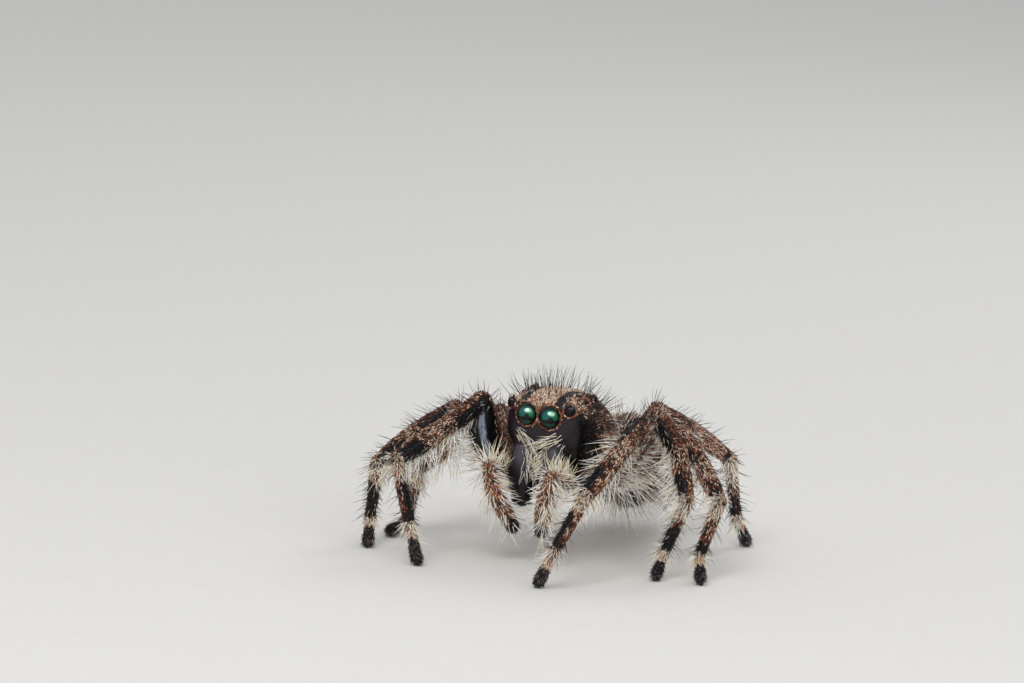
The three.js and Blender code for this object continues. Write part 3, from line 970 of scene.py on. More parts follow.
def femur_sheen(at: Spots) -> Array:
    """How strongly the painted sheen shows down the front face of a front femur: a painted blue-grey
    highlight, reflected light on glossy black.

    Args:
        at: the places.

    Returns:
        A share for each.
    """
    turn, wave = np.degrees(at.a), cloud(at.points, 0.3, 15)
    streaks = 0.72 + 0.45 * cloud(np.stack([turn / 5, at.u * 5, turn * 0], axis=-1), 1.0, 12)
    band = ramp(np.abs(turn - 127 + 3 * wave), 14 + 3 * wave, 6) * streaks
    return (band * ramp(at.u, 0.05, 0.2)).clip(0, 1)


PATTERNS: dict[Region, Callable[[Spots], Pattern]] = {
    Region.HEAD: head_pattern,
    Region.ABDOMEN: abdomen_pattern,
    Region.JAW: jaw_pattern,
    **dict.fromkeys(ALL_LEG, leg_pattern),
    **dict.fromkeys(PALP_REGIONS, palp_pattern),
}


def pattern_of(at: Spots) -> Pattern:
    """The markings at some places of a form."""
    return PATTERNS.get(at.form.region, plain_pattern)(at)


# ---- shader expressions


def math_operator(operation: str, reflected: bool = False) -> Callable[["Value", Any], "Value"]:
    """Makes an operator that adds a Math node.

    Args:
        operation: the node's operation.
        reflected: whether the value comes second.

    Returns:
        A method of a value.
    """

    def method(value: "Value", other: Any) -> "Value":
        """The node over the value and another."""
        operands = (other, value) if reflected else (value, other)
        return value.graph.node("ShaderNodeMath", {"operation": operation}, dict(enumerate(operands)))

    return method


class Value:
    """A shader socket that takes part in Python arithmetic."""

    __add__, __radd__ = math_operator("ADD"), math_operator("ADD", reflected=True)
    __sub__, __rsub__ = math_operator("SUBTRACT"), math_operator("SUBTRACT", reflected=True)
    __mul__, __rmul__ = math_operator("MULTIPLY"), math_operator("MULTIPLY", reflected=True)

    def __init__(self, graph: "Graph", socket: bpy.types.NodeSocket) -> None:
        """Wraps a socket of a graph."""
        self.graph = graph
        self.socket = socket

    def step(self, low: float, high: float) -> "Value":
        """Rises smoothly from 0 at low to 1 at high, or falls where low is the larger.

        Args:
            low: where it is 0.
            high: where it is 1.

        Returns:
            The share between.
        """
        settings = {"interpolation_type": "SMOOTHSTEP"}
        sockets = {0: self, 1: min(low, high), 2: max(low, high)}
        rise = self.graph.node("ShaderNodeMapRange", settings, sockets)
        return 1 - rise if low > high else rise


class Graph:
    """A material's node tree, written as expressions."""

    def __init__(self, name: str) -> None:
        """Starts an empty material.

        Args:
            name: its name.
        """
        self.material = bpy.data.materials.new(name)
        self.material.use_nodes = True
        self.tree = self.material.node_tree
        self.tree.nodes.clear()

    def node(self, kind: str, settings: dict, sockets: dict, output: Any = 0) -> Optional[Value]:
        """Adds a node.

        Args:
            kind: the node's type.
            settings: its properties, which are set first.
            sockets: values or links of its inputs, by name or number.
            output: name or number of the output wanted.

        Returns:
            That output, or nothing where the node has none.
        """
        made = self.tree.nodes.new(kind)
        for key, value in settings.items():
            setattr(made, key, value)
        for key, value in sockets.items():
            if isinstance(value, Value):
                self.tree.links.new(value.socket, made.inputs[key])
            else:
                made.inputs[key].default_value = value
        return Value(self, made.outputs[output]) if made.outputs else None

    def attribute(self, name: str, output: str) -> Value:
        """One of the piece's own attributes."""
        return self.node("ShaderNodeAttribute", {"attribute_name": name}, {}, output)

    def noise(self, scale: float, detail: float = 2.0, rough: float = 0.5) -> Value:
        """Noise over the piece.

        Args:
            scale: features for each metre.
            detail: finer octaves.
            rough: their weight.

        Returns:
            A value round 0.5.
        """
        place = self.node("ShaderNodeTexCoord", {}, {}, "Object")
        sockets = {"Vector": place, "Scale": scale, "Detail": detail, "Roughness": rough}
        return self.node("ShaderNodeTexNoise", {}, sockets, "Fac")

    def split(self, vector: Value) -> list[Value]:
        """The three parts of a vector."""
        first = self.node("ShaderNodeSeparateXYZ", {}, {0: vector})
        return [Value(self, output) for output in first.socket.node.outputs]

    def mix(self, share: Any, first: Any, second: Any) -> Value:
        """One colour passing into another."""
        sockets = {0: share, 6: first, 7: second}
        return self.node("ShaderNodeMix", {"data_type": "RGBA"}, sockets, 2)

    def scaled(self, colour: Any, factor: Any) -> Value:
        """A colour made lighter or darker by a factor."""
        sockets = {0: colour, "Scale": factor}
        return self.node("ShaderNodeVectorMath", {"operation": "SCALE"}, sockets)

    def bump(self, height: Value, distance: float, strength: float = 1.0) -> Value:
        """A normal raised by a height, over a distance in metres."""
        sockets = {"Height": height, "Distance": distance, "Strength": strength}
        return self.node("ShaderNodeBump", {}, sockets)

    def finish(self, sockets: dict) -> Material:
        """Ends the material in one principled shader.

        Args:
            sockets: values or links of its inputs.

        Returns:
            The material.
        """
        shader = self.node("ShaderNodeBsdfPrincipled", {}, sockets)
        self.node("ShaderNodeOutputMaterial", {}, {"Surface": shader})
        return self.material


def rgba(hex_colour: int) -> tuple[float, ...]:
    """A colour written as on a screen, as a shader socket takes it."""
    return (*linear(hex_colour).tolist(), 1.0)


# ---- finishes


@dataclass(frozen=True)
class SkinFinish:
    """The bare shell: glossy where black, dull and grained under the coat."""

    name: str = "skin"
    dull: float = 0.55
    shine: float = 0.3
    grain: float = 0.006  # depth in millimetres

    def material(self) -> Material:
        """Builds the material.

        Returns:
            The material.
        """
        g = Graph(self.name)
        gloss = g.attribute(GLOSS, "Fac")
        fine, broad = g.noise(26 / MM, 3, 0.6), g.noise(3 / MM, 2)
        return g.finish({
            "Base Color": g.scaled(g.attribute(TINT, "Color"), 0.72 + 0.4 * fine + 0.2 * broad),
            "Roughness": self.dull + (self.shine - self.dull) * gloss + (fine - 0.5) * 0.16,
            "Normal": g.bump(fine, self.grain * MM, 0.7),
            "Specular IOR Level": 0.22,
            "Coat Weight": gloss * 0.16,
            "Coat Roughness": 0.22,
        })


@dataclass(frozen=True)
class CoatFinish:
    """Scales or hairs, coloured by their own tint, with a painted glow of that tint."""

    name: str
    roughness: float
    metallic: float = 0.0
    specular: float = 0.5
    sheen: float = 0.0
    vary: float = 0.25
    through: float = 0.0  # painted glow: the tint is emitted, standing in for light that reaches a hair's shaded side

    def material(self) -> Material:
        """Builds the material.

        Returns:
            The material.
        """
        g = Graph(self.name)
        grain = g.noise(9 / MM, 2)
        tint = g.attribute(TINT, "Color")
        return g.finish({
            "Base Color": g.scaled(tint, 1 - self.vary / 2 + self.vary * grain),
            # painted glow: emission of the tint, standing in for light that passes into the shaded side
            "Emission Color": tint,
            "Emission Strength": self.through,
            "Roughness": self.roughness + (grain - 0.5) * 0.2,
            "Metallic": self.metallic,
            "Specular IOR Level": self.specular,
            "Sheen Weight": self.sheen,
            "Sheen Roughness": 0.4,
        })


@dataclass(frozen=True)
class EyeFinish:
    """An eye: a clear lens over a dark ball, with a painted highlight and, if it has one, a green dome with
    painted reflections and painted shade; they face ahead.
    """

    name: str
    deep: int
    # the colour of the painted highlight
    painted_highlight: int
    green: bool = False

    def dome(self, g: Graph, across: Value, high: Value) -> Value:
        """The metallic green of a big eye, with a painted reflection that lightens it below its brow, and
        painted shade that darkens it to its edge.

        Args:
            g: the material's graph.
            across: place sideways.
            high: place upwards.

        Returns:
            Its colour.
        """
        side = across.step(-0.5, 0.6)
        upper = g.mix(side, rgba(0x247048), rgba(0x246864))
        lower = g.mix(side, rgba(0x1D6144), rgba(0x17554C))
        # painted reflection: lighter above, darker below
        green = g.mix(high.step(-0.3, 0.25), lower, upper)
        # painted shade: darker towards the edge
        edge = (across * across + high * high).step(0.2, 0.85)
        return g.mix(edge * 0.75, green, rgba(0x072A20))

    def material(self) -> Material:
        """Builds the material.

        Returns:
            The material.
        """
        g = Graph(self.name)
        across, high = g.split(g.attribute(PLACE, "Vector"))[::2]
        colour, metal = rgba(self.deep), 0.0
        lift = high - 0.42
        # a painted highlight near the top of the lens
        painted_highlight = ((across + 0.12) * (across + 0.12) * 6 + lift * lift * 18).step(1.0, 0.05)
        if self.green:
            # painted reflection of dark surroundings: a dark blob over a dark band below the middle
            pupil_reflection = (across + 0.1) * (across + 0.1) * 13 + (high + 0.12) * (high + 0.12) * 13
            pupil_reflection = pupil_reflection.step(1.3, 0.2)
            band = ((high + 0.33) * (high + 0.33) * 30 + across * across * 0.7).step(1.25, 0.7)
            # painted shade: a dark ring at the lens's edge
            rim = (across * across + high * high).step(0.42, 0.68)
            clear = (1 - pupil_reflection) * (1 - band) * (1 - rim)
            colour = g.mix(clear, colour, g.mix(painted_highlight * 0.8, self.dome(g, across, high), rgba(self.painted_highlight)))
            metal = clear * 0.3
        else:
            # the dark eyes get a painted highlight too
            colour = g.mix(painted_highlight * 0.6, colour, rgba(self.painted_highlight))
        return g.finish({
            "Base Color": colour,
            "Roughness": 0.22,
            "Metallic": metal,
            "Specular IOR Level": 0.12,
            "Coat Weight": 0.35,
            "Coat Roughness": 0.06,
        })


@dataclass(frozen=True)
class HornFinish:
    """Polished horn that is darker in streaks."""

    name: str
    hue: int

    def material(self) -> Material:
        """Builds the material.

        Returns:
            The material.
        """
        g = Graph(self.name)
        streak = g.noise(12 / MM, 3)
        colour = g.mix(streak, rgba(self.hue), rgba(0x050404))
        return g.finish({"Base Color": colour, "Roughness": 0.22 + 0.12 * streak, "Coat Weight": 0.4})


# ---- mesh helpers


def deselect_all() -> None:
    """Leaves nothing selected, and no object active."""
    for obj in bpy.context.selected_objects:
        obj.select_set(False)
    bpy.context.view_layer.objects.active = None


def activate(obj: Piece) -> None:
    """Selects one object alone.

    Args:
        obj: the object.
    """
    deselect_all()
    obj.select_set(True)
    bpy.context.view_layer.objects.active = obj


def edit_all(operator: Callable[..., Any], **settings: Any) -> None:
    """Runs an operator on all of the active mesh in edit mode.

    Args:
        operator: one of bpy.ops.mesh.
        settings: its own settings.
    """
    bpy.ops.object.mode_set(mode="EDIT")
    bpy.ops.mesh.select_all(action="SELECT")
    operator(**settings)
    bpy.ops.object.mode_set(mode="OBJECT")


def join_all(pieces: Sequence[Piece], name: str) -> Piece:
    """Joins pieces into one.

    Args:
        pieces: the objects, of which the first takes in the others.
        name: the whole's name.

    Returns:
        The whole.
    """
    activate(pieces[0])
    for piece in pieces:
        piece.select_set(True)
    bpy.ops.object.join()
    pieces[0].name = pieces[0].data.name = name
    return pieces[0]


def coordinates(obj: Piece) -> Array:
    """An object's vertices as rows.

    Args:
        obj: a mesh object.

    Returns:
        One row for each vertex.
    """
    flat = np.empty(len(obj.data.vertices) * 3, np.float32)
    obj.data.vertices.foreach_get("co", flat)
    return flat.reshape(-1, 3).astype(float)


def set_coordinates(obj: Piece, points: Array) -> None:
    """Moves an object's vertices to the given rows."""
    obj.data.vertices.foreach_set("co", np.asarray(points, np.float32).ravel())
    obj.data.update()


def unit_ball(name: str, segments: int, rings: int) -> Piece:
    """Adds a ball of radius 1, to be drawn out into a form.

    Args:
        name: its name.
        segments: its faces round.
        rings: its faces from pole to pole.

    Returns:
        The ball.
    """
    deselect_all()
    bpy.ops.mesh.primitive_uv_sphere_add(segments=segments, ring_count=rings, radius=1.0)
    bpy.context.object.name = name
    return bpy.context.object


def apply_modifier(obj: Piece, kind: str, **settings: Any) -> None:
    """Adds a modifier with its settings and applies it.

    Args:
        obj: the object.
        kind: the modifier's type.
        settings: its properties.
    """
    activate(obj)
    modifier = obj.modifiers.new(kind.lower(), kind)
    for key, value in settings.items():
        setattr(modifier, key, value)
    bpy.ops.object.modifier_apply(modifier=modifier.name)


def mesh_object(name: str, vertices: Array, triangles: Array) -> Piece:
    """A new object from vertices and triangles, linked to the scene.

    Args:
        name: its name.
        vertices: places as rows.
        triangles: three vertex numbers a row.

    Returns:
        The object.
    """
    mesh = bpy.data.meshes.new(name)
    mesh.vertices.add(len(vertices))
    mesh.vertices.foreach_set("co", np.asarray(vertices, np.float32).ravel())
    mesh.loops.add(len(triangles) * 3)
    mesh.loops.foreach_set("vertex_index", np.asarray(triangles, np.int32).ravel())
    mesh.polygons.add(len(triangles))
    mesh.polygons.foreach_set("loop_start", np.arange(0, len(triangles) * 3, 3, dtype=np.int32))
    mesh.update(calc_edges=True)
    obj = bpy.data.objects.new(name, mesh)
    bpy.context.scene.collection.objects.link(obj)
    return obj


def set_colours(obj: Piece, name: str, colours: Array) -> None:
    """Stores one linear colour for each vertex.

    Args:
        obj: the object.
        name: the attribute's name.
        colours: linear values as rows.
    """
    attribute = obj.data.color_attributes.new(name, "FLOAT_COLOR", "POINT")
    full = np.ones((len(colours), 4), np.float32)
    full[:, :3] = colours
    attribute.data.foreach_set("color", full.ravel())


def set_numbers(obj: Piece, name: str, numbers: Array) -> None:
    """Stores one number for each vertex."""
    attribute = obj.data.attributes.new(name, "FLOAT", "POINT")
    attribute.data.foreach_set("value", np.asarray(numbers, np.float32))


# ---- placing in the frame


@dataclass
class Placing:
    """Moves finished meshes from the spider's own millimetres into the frame, and hands them over."""

    shift: Array

    @classmethod
    def from_frame(cls) -> "Placing":
        """Finds the shift from the pair of big front eyes, which lie at a known place.

        Returns:
            The placing.
        """
        boxes = [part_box(f"eye_front_middle_{side.word}") for side in Side]
        middle = sum((np.array(low) + np.array(high) for low, high in boxes), np.zeros(3)) / 4 / MM
        return cls(middle - np.array([0.0, *EYE_PLANS[0].at[1:]]))

    def hand_over(self, obj: Piece, material: Material, slot: str, stands_for: Iterable[str] = ()) -> Piece:
        """Finishes a piece.

        Args:
            obj: its object, with vertices in the spider's millimetres.
            material: its finish.
            slot: the record's material slot; it is not used.
            stands_for: nodes of the frame that it replaces.

        Returns:
            The object, in metres in the frame.
        """
        set_coordinates(obj, (coordinates(obj) + self.shift) * MM)
        obj.data.materials.clear()
        obj.data.materials.append(material)
        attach(obj, BODY)
        if stands_for:
            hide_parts(*stands_for)
        LOG.info("%s: %d vertices, %d faces", obj.name, len(obj.data.vertices), len(obj.data.polygons))
        return obj


# ---- the skin


@dataclass
class Skin:
    """One skin over all flesh, made from rounded forms that are fused and smoothed."""

    forms: list[Form]
    voxel: float = 0.07
    segments: int = 28
    smoothing: int = 3
    tree: Optional[BVHTree] = None
    obj: Optional[Piece] = None

    def shape(self, form: Form) -> Piece:
        """Adds a ball and draws it out to a form.

        Args:
            form: the form.

        Returns:
            Its object.
        """
        places = form.ring_places()
        rings = len(places) - 1
        ball = unit_ball(form.name, self.segments, rings)
        points = coordinates(ball)
        ring = np.rint(np.arccos(np.clip(points[:, 2], -1, 1)) / math.pi * rings).astype(int)
        turn = np.arctan2(points[:, 1], points[:, 0])
        set_coordinates(ball, form.surface(places[ring], turn))
        return ball

    def eye_rim(self, plan: EyePlan, side: Side) -> Piece:
        """Adds the rim of skin that holds an eye.

        Args:
            plan: the eye's plan.
            side: its side.

        Returns:
            Its object.
        """
        turn = Vector(plan.aim(side)).to_track_quat("Z", "Y").to_euler()
        deselect_all()
        bpy.ops.mesh.primitive_torus_add(
            location=plan.rim_centre(side), rotation=turn, major_segments=32, minor_segments=12,
            major_radius=plan.radius, minor_radius=plan.rim,
        )
        bpy.ops.object.transform_apply(location=True, rotation=True, scale=True)
        return bpy.context.object

    def build(self) -> None:
        """Fuses the forms into one closed mesh, and keeps a tree of it for the coat's roots."""
        pieces = [self.shape(form) for form in self.forms]
        pieces += [self.eye_rim(plan, side) for plan, side in product(EYE_PLANS, Side)]
        self.obj = join_all(pieces, "skin")
        edit_all(bpy.ops.mesh.normals_make_consistent, inside=False)
        apply_modifier(self.obj, "REMESH", mode="VOXEL", voxel_size=self.voxel, adaptivity=0.0)
        apply_modifier(self.obj, "SMOOTH", factor=0.5, iterations=self.smoothing)
        points = coordinates(self.obj)
        faces = [tuple(polygon.vertices) for polygon in self.obj.data.polygons]
        self.tree = BVHTree.FromPolygons([tuple(p) for p in points], faces)

    def nearest(self, points: Array) -> tuple[Array, Array, Array]:
        """Finds each point's form.

        Args:
            points: places near the skin.

        Returns:
            The form's number, u and a for each point.
        """
        best = np.full(len(points), np.inf)
        number = np.zeros(len(points), int)
        along, around = np.zeros(len(points)), np.zeros(len(points))
        for i, form in enumerate(self.forms):
            u, a, gap = form.locate(points)
            gap = np.abs(gap)
            closer = gap < best
            best[closer], number[closer] = gap[closer], i
            along[closer], around[closer] = u[closer], a[closer]
        return number, along, around

    def settle(self, points: Array, limit: float = 0.07) -> tuple[Array, Array, Array]:
        """Moves roots onto the skin.

        Args:
            points: places on the forms.
            limit: how far a root may lie from the skin before it is dropped.

        Returns:
            The roots, the skin's normals there, and which of them to keep.
        """
        if not len(points):
            return points, points, np.zeros(0, bool)
        found = [self.tree.find_nearest(point) for point in points.tolist()]
        roots = np.array([tuple(hit[0]) for hit in found])
        normals = np.array([tuple(hit[1]) for hit in found])
        return roots, normals, np.array([hit[3] for hit in found]) < limit

    def dress(self, placing: Placing) -> Piece:
        """Paints the markings and hands the skin over.

        Args:
            placing: puts it into the frame.

        Returns:
            The skin.
        """
        points = coordinates(self.obj)
        number, along, around = self.nearest(points)
        tints, gloss = np.zeros((len(points), 3)), np.zeros(len(points))
        for i, form in enumerate(self.forms):
            here = number == i
            if not here.any():
                continue
            at = Spots(form, along[here], around[here], points[here])
            pattern = pattern_of(at)
            tints[here], gloss[here] = pattern.skin(), pattern.gloss
            # the front femora get a painted sheen, a blue-grey highlight painted into the skin's tint
            if form.region is Region.FEMUR and form.pair == 1:
                tints[here] += femur_sheen(at)[:, None] * (linear(PAINTED_SHEEN) - tints[here])
        set_colours(self.obj, TINT, tints)
        set_numbers(self.obj, GLOSS, gloss)
        self.obj.data.shade_smooth()
        names = ["cephalothorax", "pedicel", "abdomen", "spinnerets"]
        for side in Side:
            names.append(f"chelicera_{side.word}")
            names += [f"palp_{side.word}_{part}" for part in ("femur", "tibia", "cymbium")]
            for leg in LEG_PLANS:
                names += [f"leg_{leg}_{side.word}_{region.name.lower()}" for region in LEG_REGIONS]
        return placing.hand_over(self.obj, SkinFinish().material(), "shield", names)


# ---- eyes


@dataclass
class Eye:
    """One glossy eye: a lens set in its rim, with a groove at its seat and a tapered back."""

    plan: EyePlan
    side: Side
    segments: int = 40
    rings: int = 24
    turned: float = 0.36  # how far its painted highlight and painted reflections look to the spider's left of its gaze, towards the camera

    def lens(self, ball: Array) -> Array:
        """Draws a ball of radius 1 into a lens that looks along Z.

        Args:
            ball: points of the ball.

        Returns:
            Points of the lens.
        """
        depth = np.minimum(ball[:, 2], 0)
        groove = 0.04 * ramp(np.abs(ball[:, 2] + 0.12), 0.12, 0.0)
        width = (1 - 0.35 * depth**2) * (1 - groove)
        height = np.where(ball[:, 2] < 0, 0.75, 1.0) * ball[:, 2]
        return np.stack([ball[:, 0] * width, ball[:, 1] * width, height], axis=-1)

    def build(self, placing: Placing, finish: Material) -> Piece:
        """Adds a ball, draws it into a lens with its pole turned to the gaze, and hands it over.

        Args:
            placing: puts it into the frame.
            finish: its material.

        Returns:
            The eye.
        """
        aim = self.plan.aim(self.side)
        eye = unit_ball(f"eye_{self.plan.name}_{self.side.word}_lens", self.segments, self.rings)
        across = unit(np.cross(aim, UPWARDS))
        offset = self.lens(coordinates(eye)) @ np.stack([across, np.cross(aim, across), aim])
        set_coordinates(eye, sided(self.plan.at, self.side) + offset * self.plan.radius)
        look = unit(aim + np.array([self.turned, 0.0, 0.0]))
        right = unit(np.cross(look, UPWARDS))
        place = offset @ np.stack([right, look, np.cross(right, look)], axis=-1)
        attribute = eye.data.attributes.new(PLACE, "FLOAT_VECTOR", "POINT")
        attribute.data.foreach_set("vector", np.asarray(place, np.float32).ravel())
        eye.data.shade_smooth()
        slot = "green_eye" if self.plan.great else "dark_eye"
        return placing.hand_over(eye, finish, slot, [f"eye_{self.plan.name}_{self.side.word}"])


# ---- tufts of the coat


@dataclass
class Roots:
    """Where tufts grow: place, outward normal, lie, tint and place on the unwrap."""

    points: Array
    normals: Array
    lies: Array
    tints: Array
    patches: Array
    lean: Array = field(default_factory=lambda: np.zeros(3))  # added to their aims

    def __len__(self) -> int:
        """The number of roots."""
        return len(self.points)

    def sides(self) -> Array:
        """Unit vectors across the lie."""
        return unit(np.cross(self.normals, self.lies))


# One scale's triangles, and its corners in its patch: root, right, left, tip, high and low.
SCALE_CORNERS = np.array(
    [(0, 4, 1), (1, 4, 3), (0, 2, 4), (2, 3, 4), (0, 1, 5), (1, 3, 5), (0, 5, 2), (2, 5, 3)]
)
SCALE_SPREAD = np.array([(0.5, 0.05), (0.9, 0.45), (0.1, 0.45), (0.5, 0.95), (0.5, 0.5), (0.5, 0.4)])


@dataclass
class Coat:
    """One piece of coat, gathered tuft by tuft and made a single mesh."""

    name: str
    vertices: list[Array] = field(default_factory=list)
    triangles: list[Array] = field(default_factory=list)
    tints: list[Array] = field(default_factory=list)
    maps: list[Array] = field(default_factory=list)
    count: int = 0

    def gather(self, points: Array, corners: Array, roots: Roots, spread: Array) -> None:
        """Adds many like tufts.

        Args:
            points: tufts by vertices by three.
            corners: the triangles of one tuft.
            roots: where they grow.
            spread: each vertex's place in the tuft's patch, from 0 to 1.
        """
        tufts, each = points.shape[:2]
        points[:, :, 2] = np.maximum(points[:, :, 2], FLOOR_CLEARANCE)
        starts = self.count + np.arange(tufts) * each
        self.vertices.append(points.reshape(-1, 3))
        self.triangles.append((corners[None] + starts[:, None, None]).reshape(-1, 3))
        self.tints.append(np.repeat(roots.tints, each, axis=0))
        self.maps.append((roots.patches[:, None] + (spread[None] - 0.5) * PATCH).reshape(-1, 2))
        self.count += tufts * each

    def hairs(
        self, roots: Roots, aims: Array, bends: Array, lengths: Array, girths: Array,
        rings: Sequence[float], sides: int = 3,
    ) -> None:
        """Adds tapered hairs.

        Args:
            roots: where they grow.
            aims: unit vectors in which they set out.
            bends: how far each tip is drawn aside, in lengths.
            lengths: their lengths.
            girths: their radii at the root.
            rings: shares of the length that have a ring of vertices, before the tip.
            sides: vertices in a ring.
        """
        lengths, girths = lengths[:, None], girths[:, None]
        base = roots.points - roots.normals * ROOT_DEPTH
        guide = np.where(np.abs(aims[:, 2:]) > 0.8, [[1.0, 0.0, 0.0]], UPWARDS)
        first = unit(np.cross(aims, guide))
        second = np.cross(aims, first)
        points, spread = [], []
        for share in rings:
            centre = base + lengths * (share * aims + share * share * bends)
            width = girths * (1 - TAPER * share)
            for side in range(sides):
                turn = 2 * math.pi * side / sides
                points.append(centre + width * (math.cos(turn) * first + math.sin(turn) * second))
                spread.append((0.2 + 0.6 * side / sides, 0.1 + 0.8 * share))
        points.append(base + lengths * (aims + bends))
        spread.append((0.5, 0.95))
        corners = [(0, i + 1, i) for i in range(1, sides - 1)]
        for ring in range(len(rings) - 1):
            for side in range(sides):
                a, b = ring * sides + side, ring * sides + (side + 1) % sides
                corners += [(a, b, b + sides), (a, b + sides, a + sides)]
        last = (len(rings) - 1) * sides
        corners += [(last + i, last + (i + 1) % sides, last + sides) for i in range(sides)]
        self.gather(np.stack(points, axis=1), np.array(corners), roots, np.array(spread))

    def scales(self, roots: Roots, aims: Array, lengths: Array, widths: Array, lift: Array) -> None:
        """Adds flat, pointed scales.

        Args:
            roots: where they grow.
            aims: unit vectors in which they point, along the skin.
            lengths: their lengths.
            widths: their greatest widths.
            lift: how far each tip stands off the skin, in lengths.
        """
        lengths, widths = lengths[:, None], widths[:, None]
        across = unit(np.cross(roots.normals, aims))
        base = roots.points + roots.normals * SCALE_SEAT
        middle = base + aims * lengths * 0.42 + roots.normals * lengths * (lift[:, None] * 0.5 + 0.05)
        tip = base + aims * lengths + roots.normals * lengths * lift[:, None]
        thick = widths * SCALE_THICKNESS
        right = middle + across * widths / 2 - roots.normals * thick * 0.5
        left = middle - across * widths / 2 - roots.normals * thick * 0.5
        high, low = middle + roots.normals * thick, middle - roots.normals * thick
        points = np.stack([base, right, left, tip, high, low], axis=1)
        self.gather(points, SCALE_CORNERS, roots, SCALE_SPREAD)

    def build(self) -> Piece:
        """Makes the mesh, with its tints and its map.

        Returns:
            The object, in the spider's millimetres.
        """
        points, triangles = np.concatenate(self.vertices), np.concatenate(self.triangles)
        obj = mesh_object(self.name, points, triangles)
        set_colours(obj, TINT, np.concatenate(self.tints))
        chart = obj.data.uv_layers.new(name=BAKE_MAP)
        corner_map = np.concatenate(self.maps)[triangles.ravel()]
        chart.data.foreach_set("uv", np.asarray(corner_map, np.float32).ravel())
        obj.data.shade_smooth()
        return obj


@dataclass(frozen=True)
class Zone:
    """Where tufts grow: the product of ramps over measures of the skin, and the least share elsewhere."""

    ramps: tuple[tuple[str, float, float], ...] = ()
    least: float = 0.0

    def density(self, at: Spots) -> Array:
        """The share of roots that stay, at some places of a form.

        Args:
            at: the places.

        Returns:
            A share for each.
        """
        measures = {
            "u": at.u, "over": np.cos(at.a), "fore": np.sin(at.a),
            "x": np.abs(at.points[:, 0]), "y": at.points[:, 1], "z": at.points[:, 2],
            "pair": np.full(len(at.u), at.form.pair), "cover": pattern_of(at).cover,
            "joint": np.minimum(np.abs(at.u), np.abs(1 - at.u)),
        }
        share = np.ones(len(at.u))
        for name, low, high in self.ramps:
            share = share * ramp(measures[name], low, high)
        return self.least + (1 - self.least) * share


def where(*ramps: tuple[str, float, float], least: float = 0.0) -> Zone:
    """A zone from its ramps."""
    return Zone(ramps, least)


@dataclass
class Grower:
    """Scatters roots evenly over forms, by each place's density."""

    skin: Skin
    seed: int = 11
    spots: int = 0
    headroom: float = 1.1  # the largest area, over the largest probed
    facing: float = 0.2  # least agreement between a form's normal and the skin's
    rim_share: float = 0.6  # share of a rim that bears no coat but its ring

    def scatter(self, form: Form, rate: float, zone: Zone) -> Roots:
        """Scatters roots over a form.

        Args:
            form: where they grow.
            rate: roots for each square millimetre at full density.
            zone: the density.

        Returns:
            The roots that lie on the open skin.
        """
        self.spots += 1
        rng = self.rng()
        low, high = form.span()
        probes = rng.uniform(low, high, PROBES), rng.uniform(-math.pi, math.pi, PROBES)
        peak = float(form.areas(*probes).max()) * self.headroom
        total = int(rate * peak * (high - low) * 2 * math.pi)
        order = np.arange(total)
        u = low + (high - low) * ((0.5 + order * ALONG_STEP) % 1)
        a = (2 * ((0.5 + order * ROUND_STEP) % 1) - 1) * math.pi
        keep = rng.random(total) < form.areas(u, a) / peak
        u, a = u[keep], a[keep]
        points = form.surface(u, a)
        keep = rng.random(len(u)) < zone.density(Spots(form, u, a, points))
        u, a = u[keep], a[keep]
        points, normals, lies = form.frames(u, a)
        roots, skin_normals, keep = self.skin.settle(points)
        keep &= (skin_normals * normals).sum(axis=1) > self.facing
        keep &= self.clear_of_eyes(roots)
        u, a, roots, lies = u[keep], a[keep], roots[keep], lies[keep]
        normals = unit(skin_normals[keep] + normals[keep])
        lies = unit(lies - normals * (lies * normals).sum(axis=1, keepdims=True))
        tints = pattern_of(Spots(form, u, a, roots)).pick(rng)
        return Roots(roots, normals, lies, tints, self.patches(form, u, a))

    def clear_of_eyes(self, points: Array) -> Array:
        """Which points lie outside every eye and its rim.

        Args:
            points: places on the skin.

        Returns:
            True or false for each.
        """
        clear = np.ones(len(points), bool)
        for plan, side in product(EYE_PLANS, Side):
            gap = np.linalg.norm(points - sided(plan.at, side), axis=1)
            clear &= gap > plan.radius + plan.rim * self.rim_share
        return clear

    def patches(self, form: Form, u: Array, a: Array) -> Array:
        """Each root's place on the unwrap, where every form has a cell of its own.

        Args:
            form: their form.
            u: shares of its length.
            a: bearings round it.

        Returns:
            Two values for each, from 0 to 1.
        """
        row, column = divmod(form.cell, CELLS)
        margin = 0.04
        inner_u = margin + (1 - 2 * margin) * np.clip((u + 0.15) / 1.3, 0, 1)
        inner_a = margin + (1 - 2 * margin) * (a / (2 * math.pi) + 0.5)
        return np.stack([(column + inner_u) / CELLS, (row + inner_a) / CELLS], axis=-1)

    def rng(self) -> np.random.Generator:
        """A generator for the tufts that are scattered now."""
        return np.random.default_rng(self.seed * 1000 + self.spots)


# ---- kinds of coat

LOCK = 0.3  # width of a lock of hairs that bend alike
FINE_RINGS = (0, 0.25, 0.5, 0.78)  # shares of a curly hair's length that have a ring of vertices


